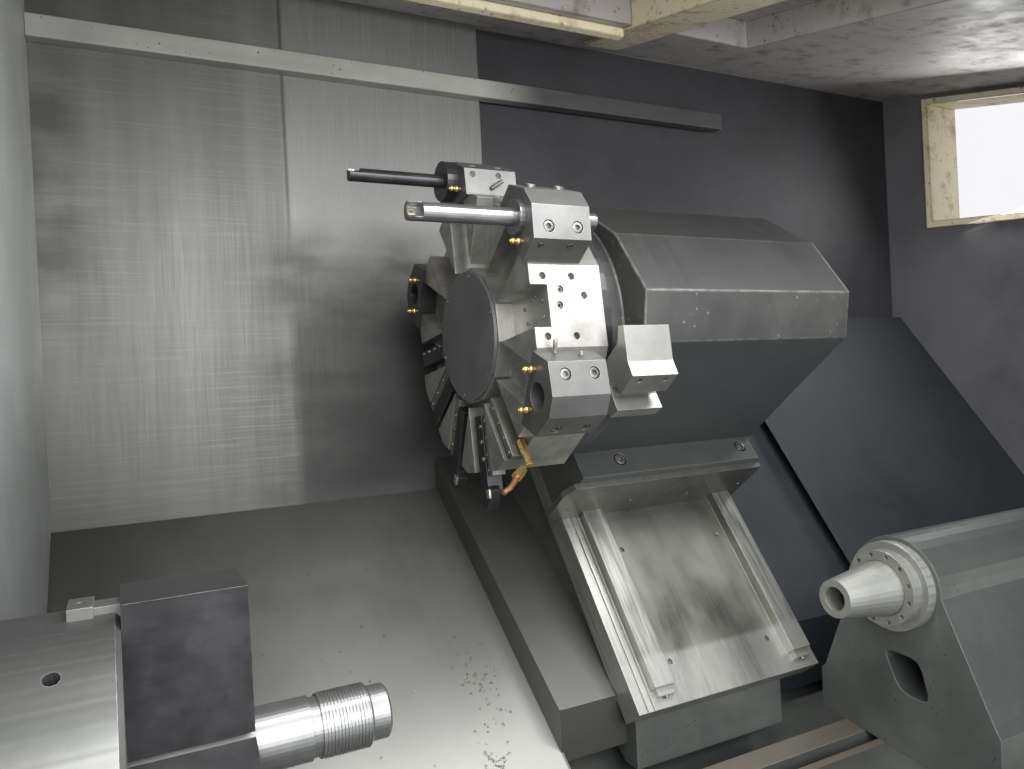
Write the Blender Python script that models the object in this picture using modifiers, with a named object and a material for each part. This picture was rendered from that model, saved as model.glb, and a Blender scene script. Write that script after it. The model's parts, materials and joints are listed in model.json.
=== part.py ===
"""A slant-bed turning lathe with a twelve-station turret, a three-jaw chuck and a tailstock.

The frame is in metres, with +X along the spindle towards the tailstock, +Y towards the back
and +Z up. The origin is on the floor, under the middle of the machine.
"""

import math

import bmesh
import bpy
from mathutils import Matrix, Vector

# Whole machine
HALF_LENGTH = 2.025
HALF_DEPTH = 1.00
MACHINE_HEIGHT = 2.60
CABINET_WALL = 0.008
CABINET_CORNER = 0.015
FIT_GAP = 0.0003
RUN_GAP = 0.002
OVERRUN = 0.010
EDGE_BREAK = 0.002

# Working space
LEFT_WALL_X = -0.925
RIGHT_CABINET_LENGTH = 0.150
RIGHT_WALL_X = HALF_LENGTH - RIGHT_CABINET_LENGTH
BACK_WALL_Y = 0.58
BACK_WALL_LOW_Z = 1.15
CEILING_Z = 2.548
CEILING_SLOPE = math.radians(13.0)
FRONT_INSET = 0.100
FRONT_Y = -HALF_DEPTH + FRONT_INSET
RECESS_START_X = 0.155
RECESS_DEPTH = 0.018
LEDGE_LOW_Z = 2.335
LEDGE_HEIGHT = 0.050
LEDGE_DEPTH = 0.035
LEDGE_END_X = 1.01

# Spindle and chuck
SPINDLE_Y = -0.326
SPINDLE_Z = 1.10
CHUCK_FACE_X = -0.788
CHUCK_LENGTH = 0.177
CHUCK_RADIUS = 0.200
CHUCK_BORE_RADIUS = 0.052
CHUCK_EDGE = 0.006
CHUCK_CLEARANCE = 0.007
RIM_HOLE_RADIUS = 0.009
RIM_HOLE_DEPTH = 0.030
RIM_HOLE_BACK = 0.0655
RIM_HOLE_ANGLE = 125.0
JAW_COUNT = 3
JAW_FIRST_ANGLE = 90.0
JAW_LENGTH = 0.140
JAW_WIDTH = 0.112
JAW_OUTER_RADIUS = 0.215
MASTER_WIDTH = 0.037
MASTER_LENGTH = 0.055
MASTER_INNER_RADIUS = 0.062
MASTER_OUTER_RADIUS = 0.2075
NUT_WIDTH = 0.055
NUT_LENGTH = 0.027
NUT_OUTER_RADIUS = 0.2113
NUT_HOLE_RADIUS = 0.005
SPINDLE_RADIUS = 0.0740
SPINDLE_FLANGE_RADIUS = 0.118
SPINDLE_FLANGE_LENGTH = 0.018
SPINDLE_END_INSET = 0.095
SPINDLE_END_X = -HALF_LENGTH + SPINDLE_END_INSET
PULLEY_RADIUS = 0.135
PULLEY_LENGTH = 0.075
HEAD_REAR_Y = -0.125
HEAD_FRONT_Y = -0.566
HEAD_TOP_Z = 1.400
HEAD_WAIST_Z = 0.780

# Shaft held in the chuck
SHAFT_RADIUS = 0.0415
SHAFT_NECK_RADIUS = 0.0385
SHAFT_NOSE_RADIUS = 0.0363
SHAFT_END_X = -0.468
SHAFT_NOSE_LENGTH = 0.026
SHAFT_THREAD_LENGTH = 0.068
SHAFT_NECK_LENGTH = 0.012
SHAFT_CHAMFER = 0.003

# Slant of the cross slide and its place below the turret axis
SLIDE_SLANT = math.radians(53.0)
TURRET_REACH = 0.681
SLIDE_DROP = 0.300
TURRET_X = -0.1307

# Slideway plate on the saddle
PLATE_LEFT_X = 0.106
PLATE_RIGHT_X = 0.603
PLATE_THICKNESS = 0.060
PLATE_UP = 0.290
PLATE_DOWN = 0.735
STRIP_WIDTH = 0.051
STRIP_HEIGHT = 0.026
LEFT_STRIP_X = 0.149
RIGHT_STRIP_X = 0.530
STRIP_END = 0.698
WAY_GROOVE_WIDTH = 0.003
WAY_GROOVE_DEPTH = 0.004
WAY_GROOVE_FIRST = 0.021
WAY_GROOVE_SECOND = 0.037
STOP_LENGTH = 0.016
STOP_HEIGHT = 0.014
STOP_INSET = 0.008
PLATE_BOLT_RADIUS = 0.0065
PLATE_BOLT_DEPTH = 0.007
PLATE_BOLTS = ((0.226, 0.390), (0.226, 0.651), (0.502, 0.392), (0.498, 0.655))

# Saddle
SADDLE_LEFT_X = 0.130
SADDLE_RIGHT_X = 0.532
SADDLE_FOOT_Z = 0.741
SADDLE_FOOT_Y = -0.027
SADDLE_FRONT_Y = -0.070
SADDLE_LIP = 0.023

# Left cover, on the slope of the bed
COVER_SLANT = math.radians(36.7)
COVER_TOP_Z = 1.268
COVER_FRONT_Y = -0.100
COVER_SHEET = 0.004
COVER_BACK_GAP = 0.0005
LEFT_COVER_START_X = -1.075
BEAM_LEFT_X = -0.030
BEAM_RIGHT_X = 0.1295
BEAM_HEIGHT = 0.068
BEAM_FRONT_Y = -0.040
UNDER_SHEET_DROP = 0.020
UNDER_SHEET_END_X = -0.395

# Right covers, on the slant of the slide
RIGHT_LOW_DROP = 0.375
RIGHT_HIGH_DROP = 0.340
RIGHT_STEP_X = 0.915
RIGHT_LOW_END_X = 1.465
RIGHT_COVER_UP = 0.350
RIGHT_LOW_COVER_UP = 0.314
RIGHT_COVER_DOWN = 0.620
RIGHT_SKIRT = 0.160

# Bed
BED_LEFT_INSET = 0.125
BED_RIGHT_INSET = 0.225
BED_LEFT_X = -HALF_LENGTH + BED_LEFT_INSET
BED_RIGHT_X = HALF_LENGTH - BED_RIGHT_INSET
BED_DROP = 0.104
BED_BOTTOM_Z = 0.060
BED_REAR_Y = 0.56
BED_BACK_Y = 0.60
BED_BACK_Z = 0.95
BED_FRONT_Y = -0.60
BED_FRONT_Z = 0.30
RAIL_HEIGHT = 0.044
RAIL_WIDTH = 0.060
RAIL_UPPER_RUN = 0.150
RAIL_LOWER_RUN = 0.700
BED_HOLLOW_WALL = 0.160
BED_FRONT_WALL = 0.240
BED_HOLLOW_TOP = 0.110
FOOT_RADIUS = 0.060
FOOT_COUNT_PER_SIDE = 3

# Tailstock ways on the front of the bed
WAY_SLOPE = math.radians(8.6)
WAY_REAR_Y = -0.190
WAY_TROUGH_REAR_Y = -0.238
WAY_TROUGH_FRONT_Y = -0.270
WAY_TROUGH_DEPTH = 0.030
WAY_FRONT_Y = -0.530

# Tailstock, its outline measured from the spindle axis
TAIL_LEFT_X = 0.600
TAIL_RIGHT_X = 1.175
TAIL_BARREL_RADIUS = 0.098
TAIL_FOOT_REAR = 0.196
TAIL_FOOT_FRONT = -0.200
TAIL_FOOT_TOP = -0.216
TAIL_FOOT_REAR_DROP = 0.3134
TAIL_FOOT_CHAMFER = 0.012
TAIL_POCKET_DEPTH = 0.120
TAIL_POCKET_SHARES = ((0.36, -1.40), (-0.46, -1.45), (-0.67, -2.28), (0.00, -2.21))
TAIL_POCKET_ROUND = 0.020
RING_RADIUS = 0.075
RING_LENGTH = 0.024
COLLAR_RADIUS = 0.089
COLLAR_LENGTH = 0.022
RING_SCREWS = 12
RING_SCREW_RADIUS = 0.0045
RING_SCREW_CIRCLE = 0.066
RING_SCREW_DEPTH = 0.006
QUILL_RADIUS = 0.0545
QUILL_CONE_RADIUS = 0.0365
QUILL_TIP_X = 0.426
QUILL_CONE_END_X = 0.548
QUILL_BORE_RADIUS = 0.023
QUILL_BORE_DEPTH = 0.130
QUILL_BORE_END_RADIUS = 0.0196
QUILL_TRAVEL = 0.120
QUILL_END_X = 1.00
BORE_CLEARANCE = 0.0005

# Cross slide, turret housing and bracket, in slide coordinates
CROSS_LEFT_X = 0.097
CROSS_RIGHT_X = 0.612
CROSS_HALF_RUN = 0.280
CROSS_TOP = -0.145
CROSS_CHAMFER = 0.015
WIPER_THICKNESS = 0.014
WIPER_TOP = -0.165
WIPER_LEFT_X = 0.062
FLANGE_BOLT_RADIUS = 0.016
FLANGE_BOLT_DEPTH = 0.012
FLANGE_BOLT_RUN = 0.243
FLANGE_BOLT_LEFT_X = 0.208
FLANGE_BOLT_RIGHT_X = 0.561
HOUSING_LEFT_X = 0.079
HOUSING_RIGHT_X = 0.610
HOUSING_FRONT = 0.217
HOUSING_REAR = 0.250
HOUSING_TOP = 0.295
HOUSING_CHAMFER = 0.068
HOUSING_REAR_TOP = 0.120
HOUSING_SHOULDER = 0.150
HOUSING_SHOULDER_OUT = 0.236
BOSS_RADIUS = 0.252
BOSS_LEFT_X = 0.046
FLANGE_RING_RADIUS = 0.262
FLANGE_RING_LEFT_X = 0.0178
BRACKET_LEFT_X = 0.020
BRACKET_RIGHT_X = 0.120
BRACKET_HOLE_RADIUS = 0.006
BRACKET_HOLE_INSET = 0.022
BRACKET_HOLE_OUT = 0.210

# The coolant bracket's outline in slide coordinates: down the slant, and out from it
BRACKET_OUTLINE = (
    (0.196, 0.2487), (0.206, 0.262), (0.262, 0.229), (0.291, 0.224), (0.292, 0.176), (0.258, 0.168),
    (0.262, 0.157), (0.278, 0.150), (0.309, 0.147), (0.304, 0.119), (0.238, 0.118),
    (0.2175, 0.152), (0.2175, 0.2272),
)

# Turret disc
STATIONS = 12
STATION_FIRST_ANGLE = -127.0
DISC_APOTHEM = 0.279
DISC_THICKNESS = 0.148
SLOT_DEPTH = 0.034
SLOT_WIDTH = 0.077
SLOT_INNER_RADIUS = 0.136
COVER_RADIUS = 0.133
COVER_THICKNESS = 0.006
FACET_HOLE_RADIUS = 0.007
FACET_HOLE_DEPTH = 0.016
FACET_HOLE_ACROSS = 0.055
FACET_HOLE_FRONT = 0.054
FACET_HOLE_REAR = 0.119

# Stations of the turret, counted from the one that faces the spindle
BARE_STATIONS = (6, 8)
DRILLED_STATION = 10
DRILLED_HOLES = (
    (0.054, 0.027), (0.054, 0.086), (0.030, 0.060), (0.019, 0.109), (0.001, 0.056),
    (-0.055, 0.025), (-0.055, 0.084),
)
HOLDER_STATIONS = {"lower_bore_holder": 11, "upper_bore_holder": 9, "dark_bore_holder": 5}
REAR_HOLDER_STATION = 7
TOOL_STATIONS = {"turning_tool_1": 1, "turning_tool_2": 2}
CLAMP_STATIONS = {"tool_clamp_1": 4, "tool_clamp_2": 3}
FITTING_STATION = 0

# Bore holders, measured outward from the turret axis
HOLDER_LENGTH = 0.116
HOLDER_FRONT = -0.008
HOLDER_HALF_WIDTH = 0.070
HOLDER_SHOULDER = 0.335
HOLDER_TOP = 0.368
HOLDER_TOP_HALF = 0.020
HOLDER_BORE_HEIGHT = 0.319
HOLDER_BORE_RADIUS = 0.025
HOLDER_SCREW_RADIUS = 0.0115
HOLDER_SCREW_DEPTH = 0.010
HOLDER_SCREW_SHARES = (0.27, 0.77)
HOLDER_SCREW_RUN_SHARE = 0.63
REAR_HOLDER_FRONT = -0.006
REAR_BORE_HEIGHT = 0.331

# Boring bars
BRIGHT_BAR_RADIUS = 0.016
BRIGHT_BAR_FRONT = -0.2135
BRIGHT_BAR_REAR = 0.149
BLACK_BAR_RADIUS = 0.0135
BLACK_BAR_FRONT = -0.2255
BLACK_BAR_REAR = 0.150
BAR_HEAD_LENGTH = 0.024
BAR_FLAT_SHARES = (0.13, 0.47)
SLEEVE_RADIUS = 0.0247
SLEEVE_FLANGE_RADIUS = 0.031
SLEEVE_FLANGE_LENGTH = 0.010
BLACK_FLANGE_RADIUS = 0.041
BLACK_FLANGE_LENGTH = 0.024

# Turning tools in the slots of the disc
TOOL_SHANK = 0.032
TOOL_INNER_RADIUS = 0.165
TOOL_OUTER_RADIUS = 0.318
TOOL_TIP_RADIUS = 0.356
TOOL_NOSE = 0.0096
TOOL_HEAD_HEIGHT = 0.0224
CLAMP_WIDTH = 0.036
CLAMP_INNER_RADIUS = 0.160
CLAMP_OUTER_RADIUS = 0.292
CLAMP_HEIGHT = 0.030
FITTING_INNER_RADIUS = 0.262
FITTING_OUTER_RADIUS = 0.318
PIPE_RADIUS = 0.004
PIPE_ROOT_RADIUS = 0.310
PIPE_TIP_RADIUS = 0.338
PIPE_TIP_X = -0.008

# Side window
WINDOW_FRONT_Y = -0.10
WINDOW_REAR_Y = 0.435
WINDOW_FRONT_LOW_Z = 1.975
WINDOW_REAR_LOW_Z = 2.030
WINDOW_HEAD_ROOM = 0.014
WINDOW_FRAME_WIDTH = 0.022
WINDOW_FRAME_DEPTH = 0.012
PANE_SETBACK = 0.003
PANE_THICKNESS = 0.008

# Roof
ROOF_RAIL_Y = 0.338
ROOF_RAIL_SIZE = 0.026
ROOF_BEAM_LEFT_X = 0.485
ROOF_BEAM_RIGHT_X = 0.605
ROOF_BEAM_DROP = 0.010
ROOF_BEAM_HEIGHT = 0.070
ROOF_BEAM_REAR_Y = 0.540
HATCH_LEFT_X = -0.700
HATCH_RIGHT_X = 0.900
HATCH_REAR_Y = 0.305
HATCH_FRONT_Y = -0.60
ROOF_SHEET = 0.008
HATCH_RISE = 0.080

# Front doors
DOOR_WIDTH = 0.970
DOOR_THICKNESS = 0.035
DOOR_GAP = 0.0005
DOOR_LOW_Z = 0.66
DOOR_HIGH_Z = 2.12
DOOR_MIDDLE_X = 0.035
DOOR_WINDOW_SIDE = 0.160
DOOR_WINDOW_LOW_Z = 1.12
DOOR_WINDOW_HIGH_Z = 1.86
HANDLE_RADIUS = 0.012
HANDLE_POST_RADIUS = 0.0086
HANDLE_REACH = 0.050
HANDLE_LOW_Z = 1.10
HANDLE_HIGH_Z = 1.45
HANDLE_INSET = 0.070
OPENING_LOW_Z = 0.70
OPENING_HIGH_Z = 2.08

# Operator's pendant
PENDANT_INSET = 0.405
PENDANT_X = HALF_LENGTH - PENDANT_INSET
PENDANT_HALF_WIDTH = 0.20
PENDANT_LOW_Z = 1.20
PENDANT_HIGH_Z = 1.78
PENDANT_GAP = 0.006
PENDANT_ARM_WIDTH = 0.080
PENDANT_ARM_INSET = 0.008
PENDANT_EDGE = 0.006

# Roundness
BIG_ROUND = 48
MIDDLE_ROUND = 32
SMALL_ROUND = 16
TINY_ROUND = 10

TURRET_Y = SPINDLE_Y + TURRET_REACH * math.cos(SLIDE_SLANT)
TURRET_Z = SPINDLE_Z + TURRET_REACH * math.sin(SLIDE_SLANT)

# Frames: world, spindle, slide, left cover and bed. Local +Y runs up a slope.
WORLD = Matrix.Identity(4)
SPINDLE = Matrix.Translation((0, SPINDLE_Y, SPINDLE_Z))
TURRET = Matrix.Translation((TURRET_X, TURRET_Y, TURRET_Z))
SLIDE = Matrix.Translation((0, TURRET_Y, TURRET_Z)) @ Matrix.Rotation(SLIDE_SLANT, 4, "X")
COVER = Matrix.Translation((0, BACK_WALL_Y, COVER_TOP_Z)) @ Matrix.Rotation(COVER_SLANT, 4, "X")
ALONG_X = Matrix.Rotation(math.radians(90), 4, "Y")
OUTLINE_YZ = Matrix.Rotation(math.radians(90), 4, "Z") @ Matrix.Rotation(math.radians(90), 4, "X")

# Finishes: colour, roughness, metallic
FINISHES = {
    "cabinet_paint": ((0.78, 0.77, 0.72), 0.45, 0.0),
    "frame_paint": ((0.20, 0.22, 0.23), 0.50, 0.0),
    "brushed_steel": ((0.33, 0.33, 0.31), 0.42, 0.9),
    "dark_sheet": ((0.10, 0.10, 0.11), 0.45, 0.7),
    "cast_green": ((0.14, 0.17, 0.17), 0.60, 0.2),
    "ground_steel": ((0.62, 0.63, 0.62), 0.25, 1.0),
    "turned_steel": ((0.55, 0.56, 0.56), 0.22, 1.0),
    "black_oxide": ((0.05, 0.05, 0.06), 0.35, 0.8),
    "brass": ((0.72, 0.52, 0.20), 0.30, 1.0),
    "copper": ((0.72, 0.38, 0.24), 0.32, 1.0),
    "window_glass": ((0.93, 0.94, 0.92), 0.10, 0.0),
    "cream_paint": ((0.80, 0.77, 0.64), 0.45, 0.0),
}


def clear_scene():
    for obj in list(bpy.data.objects):
        bpy.data.objects.remove(obj, do_unlink=True)


def new_collection(name):
    collection = bpy.data.collections.new(name)
    bpy.context.scene.collection.children.link(collection)
    return collection


def finish_material(name):
    """The material of a finish, made once."""
    found = bpy.data.materials.get(name)
    if found:
        return found
    colour, roughness, metallic = FINISHES[name]
    made = bpy.data.materials.new(name)
    made.use_nodes = True
    shader = made.node_tree.nodes["Principled BSDF"]
    shader.inputs["Base Color"].default_value = (*colour, 1)
    shader.inputs["Roughness"].default_value = roughness
    shader.inputs["Metallic"].default_value = metallic
    made.diffuse_color = (*colour, 1)
    return made


def ceiling_height(y):
    """The height of the sloped ceiling at a depth."""
    return CEILING_Z + (y - BACK_WALL_Y) * math.tan(CEILING_SLOPE)


def slant_height(y, out):
    """The height at a depth of a plane along the slide, that far out from the turret axis."""
    down = (TURRET_Y - out * math.sin(SLIDE_SLANT) - y) / math.cos(SLIDE_SLANT)
    return TURRET_Z - down * math.sin(SLIDE_SLANT) + out * math.cos(SLIDE_SLANT)


def slide_point(x, down, out):
    """A world point from its place along the slide: down the slant, and out from it."""
    return SLIDE @ Vector((x, -down, out))


def cover_height(y):
    """The height of the left cover's top at a depth."""
    return COVER_TOP_Z + (y - BACK_WALL_Y) * math.tan(COVER_SLANT)


def bed_height(y):
    """The height of the bed's sloped top at a depth."""
    return cover_height(y) - BED_DROP / math.cos(COVER_SLANT)


def cover_slab(rear, front, low, high):
    """The outline of a slab along the left cover's slope, its ends upright. Low and high are square to it."""
    return [
        (y, cover_height(y) + level / math.cos(COVER_SLANT))
        for y, level in ((rear, high), (front, high), (front, low), (rear, low))
    ]


def way_height(y):
    """The height of the tailstock ways at a depth."""
    rear = SPINDLE_Y + TAIL_FOOT_REAR
    return SPINDLE_Z - TAIL_FOOT_REAR_DROP - (rear - y) * math.tan(WAY_SLOPE)


def station_frame(index):
    """The frame of a turret station: +Z outward from the turret axis, +X towards the tailstock."""
    angle = STATION_FIRST_ANGLE - 90 + index * 360 / STATIONS
    return TURRET @ Matrix.Rotation(math.radians(angle), 4, "X")


def rounded(points, radius):
    """An outline with each corner cut back along its two sides and bowed out to a third point."""
    made = []
    for index, corner in enumerate(points):
        here = Vector(corner)
        before = (Vector(points[index - 1]) - here).normalized() * radius
        after = (Vector(points[(index + 1) % len(points)]) - here).normalized() * radius
        made += [here + before, here + (before + after) / 4, here + after]
    return [tuple(point) for point in made]


def arc(centre, radius, start, end, count):
    """Points on an arc, in degrees."""
    step = (end - start) / count
    angles = [math.radians(start + step * index) for index in range(count + 1)]
    return [(centre[0] + radius * math.cos(a), centre[1] + radius * math.sin(a)) for a in angles]


class Builder:
    """Makes the objects of the part and keeps the two collections."""

    def __init__(self):
        self.parts = new_collection("turning_lathe")
        self.cutters = new_collection("cutters")
        self.cut_count = 0

    def link(self, name, mesh, frame, finish):
        """Adds a mesh to the part, or to the cutters where it has no finish."""
        obj = bpy.data.objects.new(name, mesh)
        obj.matrix_world = frame
        if finish is None:
            self.cutters.objects.link(obj)
            obj.hide_render = True
            obj.display_type = "WIRE"
        else:
            self.parts.objects.link(obj)
            mesh.materials.append(finish_material(finish))
        return obj

    def cutter_name(self):
        self.cut_count += 1
        return f"cutter_{self.cut_count:03d}"

    def block(self, name, low, high, finish, frame=WORLD):
        """A box between two corners of a frame."""
        size = [b - a for a, b in zip(low, high)]
        middle = [(a + b) / 2 for a, b in zip(low, high)]
        shape = bmesh.new()
        bmesh.ops.create_cube(shape, size=1)
        bmesh.ops.scale(shape, vec=size, verts=shape.verts)
        bmesh.ops.translate(shape, vec=middle, verts=shape.verts)
        mesh = bpy.data.meshes.new(name)
        shape.to_mesh(mesh)
        shape.free()
        return self.link(name, mesh, frame, finish)

    def rod(self, name, radius, start, end, finish, frame=WORLD, round_count=SMALL_ROUND):
        """A cylinder between two points of a frame."""
        start, end = Vector(start), Vector(end)
        run = end - start
        shape = bmesh.new()
        bmesh.ops.create_cone(
            shape, cap_ends=True, segments=round_count, radius1=radius, radius2=radius, depth=run.length
        )
        turn = run.to_track_quat("Z", "Y").to_matrix().to_4x4()
        bmesh.ops.transform(
            shape, matrix=Matrix.Translation((start + end) / 2) @ turn, verts=shape.verts
        )
        mesh = bpy.data.meshes.new(name)
        shape.to_mesh(mesh)
        shape.free()
        return self.link(name, mesh, frame, finish)

    def outline(self, name, points, low, high, finish, frame=WORLD):
        """A flat outline, extruded along the +Z of its frame from low to high."""
        curve = bpy.data.curves.new(name, "CURVE")
        curve.dimensions = "2D"
        curve.fill_mode = "BOTH"
        curve.extrude = (high - low) / 2
        spline = curve.splines.new("POLY")
        spline.points.add(len(points) - 1)
        for point, (across, up) in zip(spline.points, points):
            point.co = (across, up, 0, 1)
        spline.use_cyclic_u = True
        guide = bpy.data.objects.new(name + "_outline", curve)
        bpy.context.scene.collection.objects.link(guide)
        bpy.context.view_layer.update()
        mesh = bpy.data.meshes.new_from_object(guide.evaluated_get(bpy.context.evaluated_depsgraph_get()))
        bpy.data.objects.remove(guide, do_unlink=True)
        mesh.name = name
        mesh.materials.clear()
        shape = bmesh.new()
        shape.from_mesh(mesh)
        bmesh.ops.remove_doubles(shape, verts=shape.verts, dist=0.00001)
        bmesh.ops.translate(shape, vec=(0, 0, (low + high) / 2), verts=shape.verts)
        bmesh.ops.recalc_face_normals(shape, faces=shape.faces)
        shape.to_mesh(mesh)
        shape.free()
        return self.link(name, mesh, frame, finish)

    def section(self, name, points, low_x, high_x, finish, frame=WORLD):
        """An outline in Y and Z of a frame, extruded along its X."""
        return self.outline(name, points, low_x, high_x, finish, frame @ OUTLINE_YZ)

    def turned(self, name, profile, finish, frame, round_count=MIDDLE_ROUND):
        """A profile of (x, radius) points, turned about the X of its frame. It runs from +X to -X outside."""
        mesh = bpy.data.meshes.new(name)
        points = [(radius, 0, x) for x, radius in profile]
        edges = [(index, index + 1) for index in range(len(points) - 1)]
        if profile[0][1] > 0:
            edges.append((len(points) - 1, 0))
        mesh.from_pydata(points, edges, [])
        obj = self.link(name, mesh, frame @ ALONG_X, finish)
        screw = obj.modifiers.new("turn", "SCREW")
        screw.axis = "Z"
        screw.angle = math.radians(360)
        screw.screw_offset = 0
        screw.steps = round_count
        screw.render_steps = round_count
        screw.use_merge_vertices = True
        screw.merge_threshold = 0.00001
        screw.use_smooth_shade = False
        return obj

    def boolean(self, obj, other, operation):
        modifier = obj.modifiers.new(operation.lower() + "_" + other.name, "BOOLEAN")
        modifier.operation = operation
        modifier.object = other
        modifier.solver = "EXACT"

    def cut_block(self, obj, low, high, frame=WORLD):
        self.boolean(obj, self.block(self.cutter_name(), low, high, None, frame), "DIFFERENCE")

    def cut_rod(self, obj, radius, start, end, frame=WORLD, round_count=SMALL_ROUND):
        cutter = self.rod(self.cutter_name(), radius, start, end, None, frame, round_count)
        self.boolean(obj, cutter, "DIFFERENCE")

    def join_block(self, obj, low, high, frame=WORLD):
        self.boolean(obj, self.block(self.cutter_name(), low, high, None, frame), "UNION")

    def join_rod(self, obj, radius, start, end, frame=WORLD, round_count=SMALL_ROUND):
        helper = self.rod(self.cutter_name(), radius, start, end, None, frame, round_count)
        self.boolean(obj, helper, "UNION")

    def soften(self, obj, width):
        """A narrow bevel on the edges of a box or an outline."""
        bevel = obj.modifiers.new("edge", "BEVEL")
        bevel.width = width
        bevel.segments = 1
        bevel.limit_method = "ANGLE"
        bevel.angle_limit = math.radians(50)

    def carry(self, axis_name, frame, pieces):
        """Parents the pieces of a moving body to an empty on its joint's axis."""
        empty = bpy.data.objects.new(axis_name, None)
        empty.matrix_world = frame
        self.parts.objects.link(empty)
        bpy.context.view_layer.update()
        for piece in pieces:
            piece.parent = empty
            piece.matrix_parent_inverse = frame.inverted()
        return empty


def build_bed(make):
    """The cast bed with its feet, and the two rails that carry the saddle."""
    outline = [
        (BED_REAR_Y, bed_height(BED_REAR_Y)),
        (COVER_FRONT_Y, bed_height(COVER_FRONT_Y)),
        (WAY_REAR_Y, bed_height(COVER_FRONT_Y)),
        (WAY_REAR_Y, way_height(WAY_REAR_Y)),
        (WAY_TROUGH_REAR_Y, way_height(WAY_TROUGH_REAR_Y)),
        (WAY_TROUGH_REAR_Y, way_height(WAY_TROUGH_REAR_Y) - WAY_TROUGH_DEPTH),
        (WAY_TROUGH_FRONT_Y, way_height(WAY_TROUGH_FRONT_Y) - WAY_TROUGH_DEPTH),
        (WAY_TROUGH_FRONT_Y, way_height(WAY_TROUGH_FRONT_Y)),
        (WAY_FRONT_Y, way_height(WAY_FRONT_Y)),
        (WAY_FRONT_Y, BED_FRONT_Z),
        (BED_FRONT_Y, BED_BOTTOM_Z),
        (BED_BACK_Y, BED_BOTTOM_Z),
        (BED_BACK_Y, BED_BACK_Z),
    ]
    bed = make.section("bed_casting", outline, BED_LEFT_X, BED_RIGHT_X, "cast_green")
    wall, roof = BED_HOLLOW_WALL, BED_HOLLOW_TOP
    inner_rear = BED_BACK_Y - wall
    inner_front = BED_FRONT_Y + BED_FRONT_WALL
    inside = [
        (inner_rear, bed_height(inner_rear) - roof),
        (COVER_FRONT_Y, bed_height(COVER_FRONT_Y) - roof),
        (inner_front, bed_height(COVER_FRONT_Y) - roof),
        (inner_front, BED_BOTTOM_Z - OVERRUN),
        (inner_rear, BED_BOTTOM_Z - OVERRUN),
    ]
    hollow = make.section(make.cutter_name(), inside, BED_LEFT_X + wall, BED_RIGHT_X - wall, None)
    make.boolean(bed, hollow, "DIFFERENCE")
    reach = (BED_RIGHT_X - BED_LEFT_X) / 2 - 2 * FOOT_RADIUS
    for row in (-1, 1):
        for place in range(FOOT_COUNT_PER_SIDE):
            x = (BED_LEFT_X + BED_RIGHT_X) / 2 + reach * (2 * place / (FOOT_COUNT_PER_SIDE - 1) - 1)
            y = (BED_FRONT_Y + BED_BACK_Y) / 2 + row * (BED_BACK_Y - wall / 2)
            make.join_rod(bed, FOOT_RADIUS, (x, y, 0), (x, y, BED_BOTTOM_Z + OVERRUN))
    bed_frame = COVER @ Matrix.Translation((0, 0, -BED_DROP + FIT_GAP))
    for name, run in (("upper_bed_rail", RAIL_UPPER_RUN), ("lower_bed_rail", RAIL_LOWER_RUN)):
        low = (LEFT_WALL_X + FIT_GAP, -run - RAIL_WIDTH / 2, 0)
        high = (BED_RIGHT_X, -run + RAIL_WIDTH / 2, RAIL_HEIGHT)
        make.block(name, low, high, "ground_steel", bed_frame)


def wall_outline(rear):
    """The outline of an end wall, from the chip apron up to the sloped ceiling."""
    front = FRONT_Y + CABINET_WALL + FIT_GAP
    return [
        (rear, BED_FRONT_Z),
        (rear, ceiling_height(rear) - FIT_GAP),
        (front, ceiling_height(front) - FIT_GAP),
        (front, BED_FRONT_Z),
    ]


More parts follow.
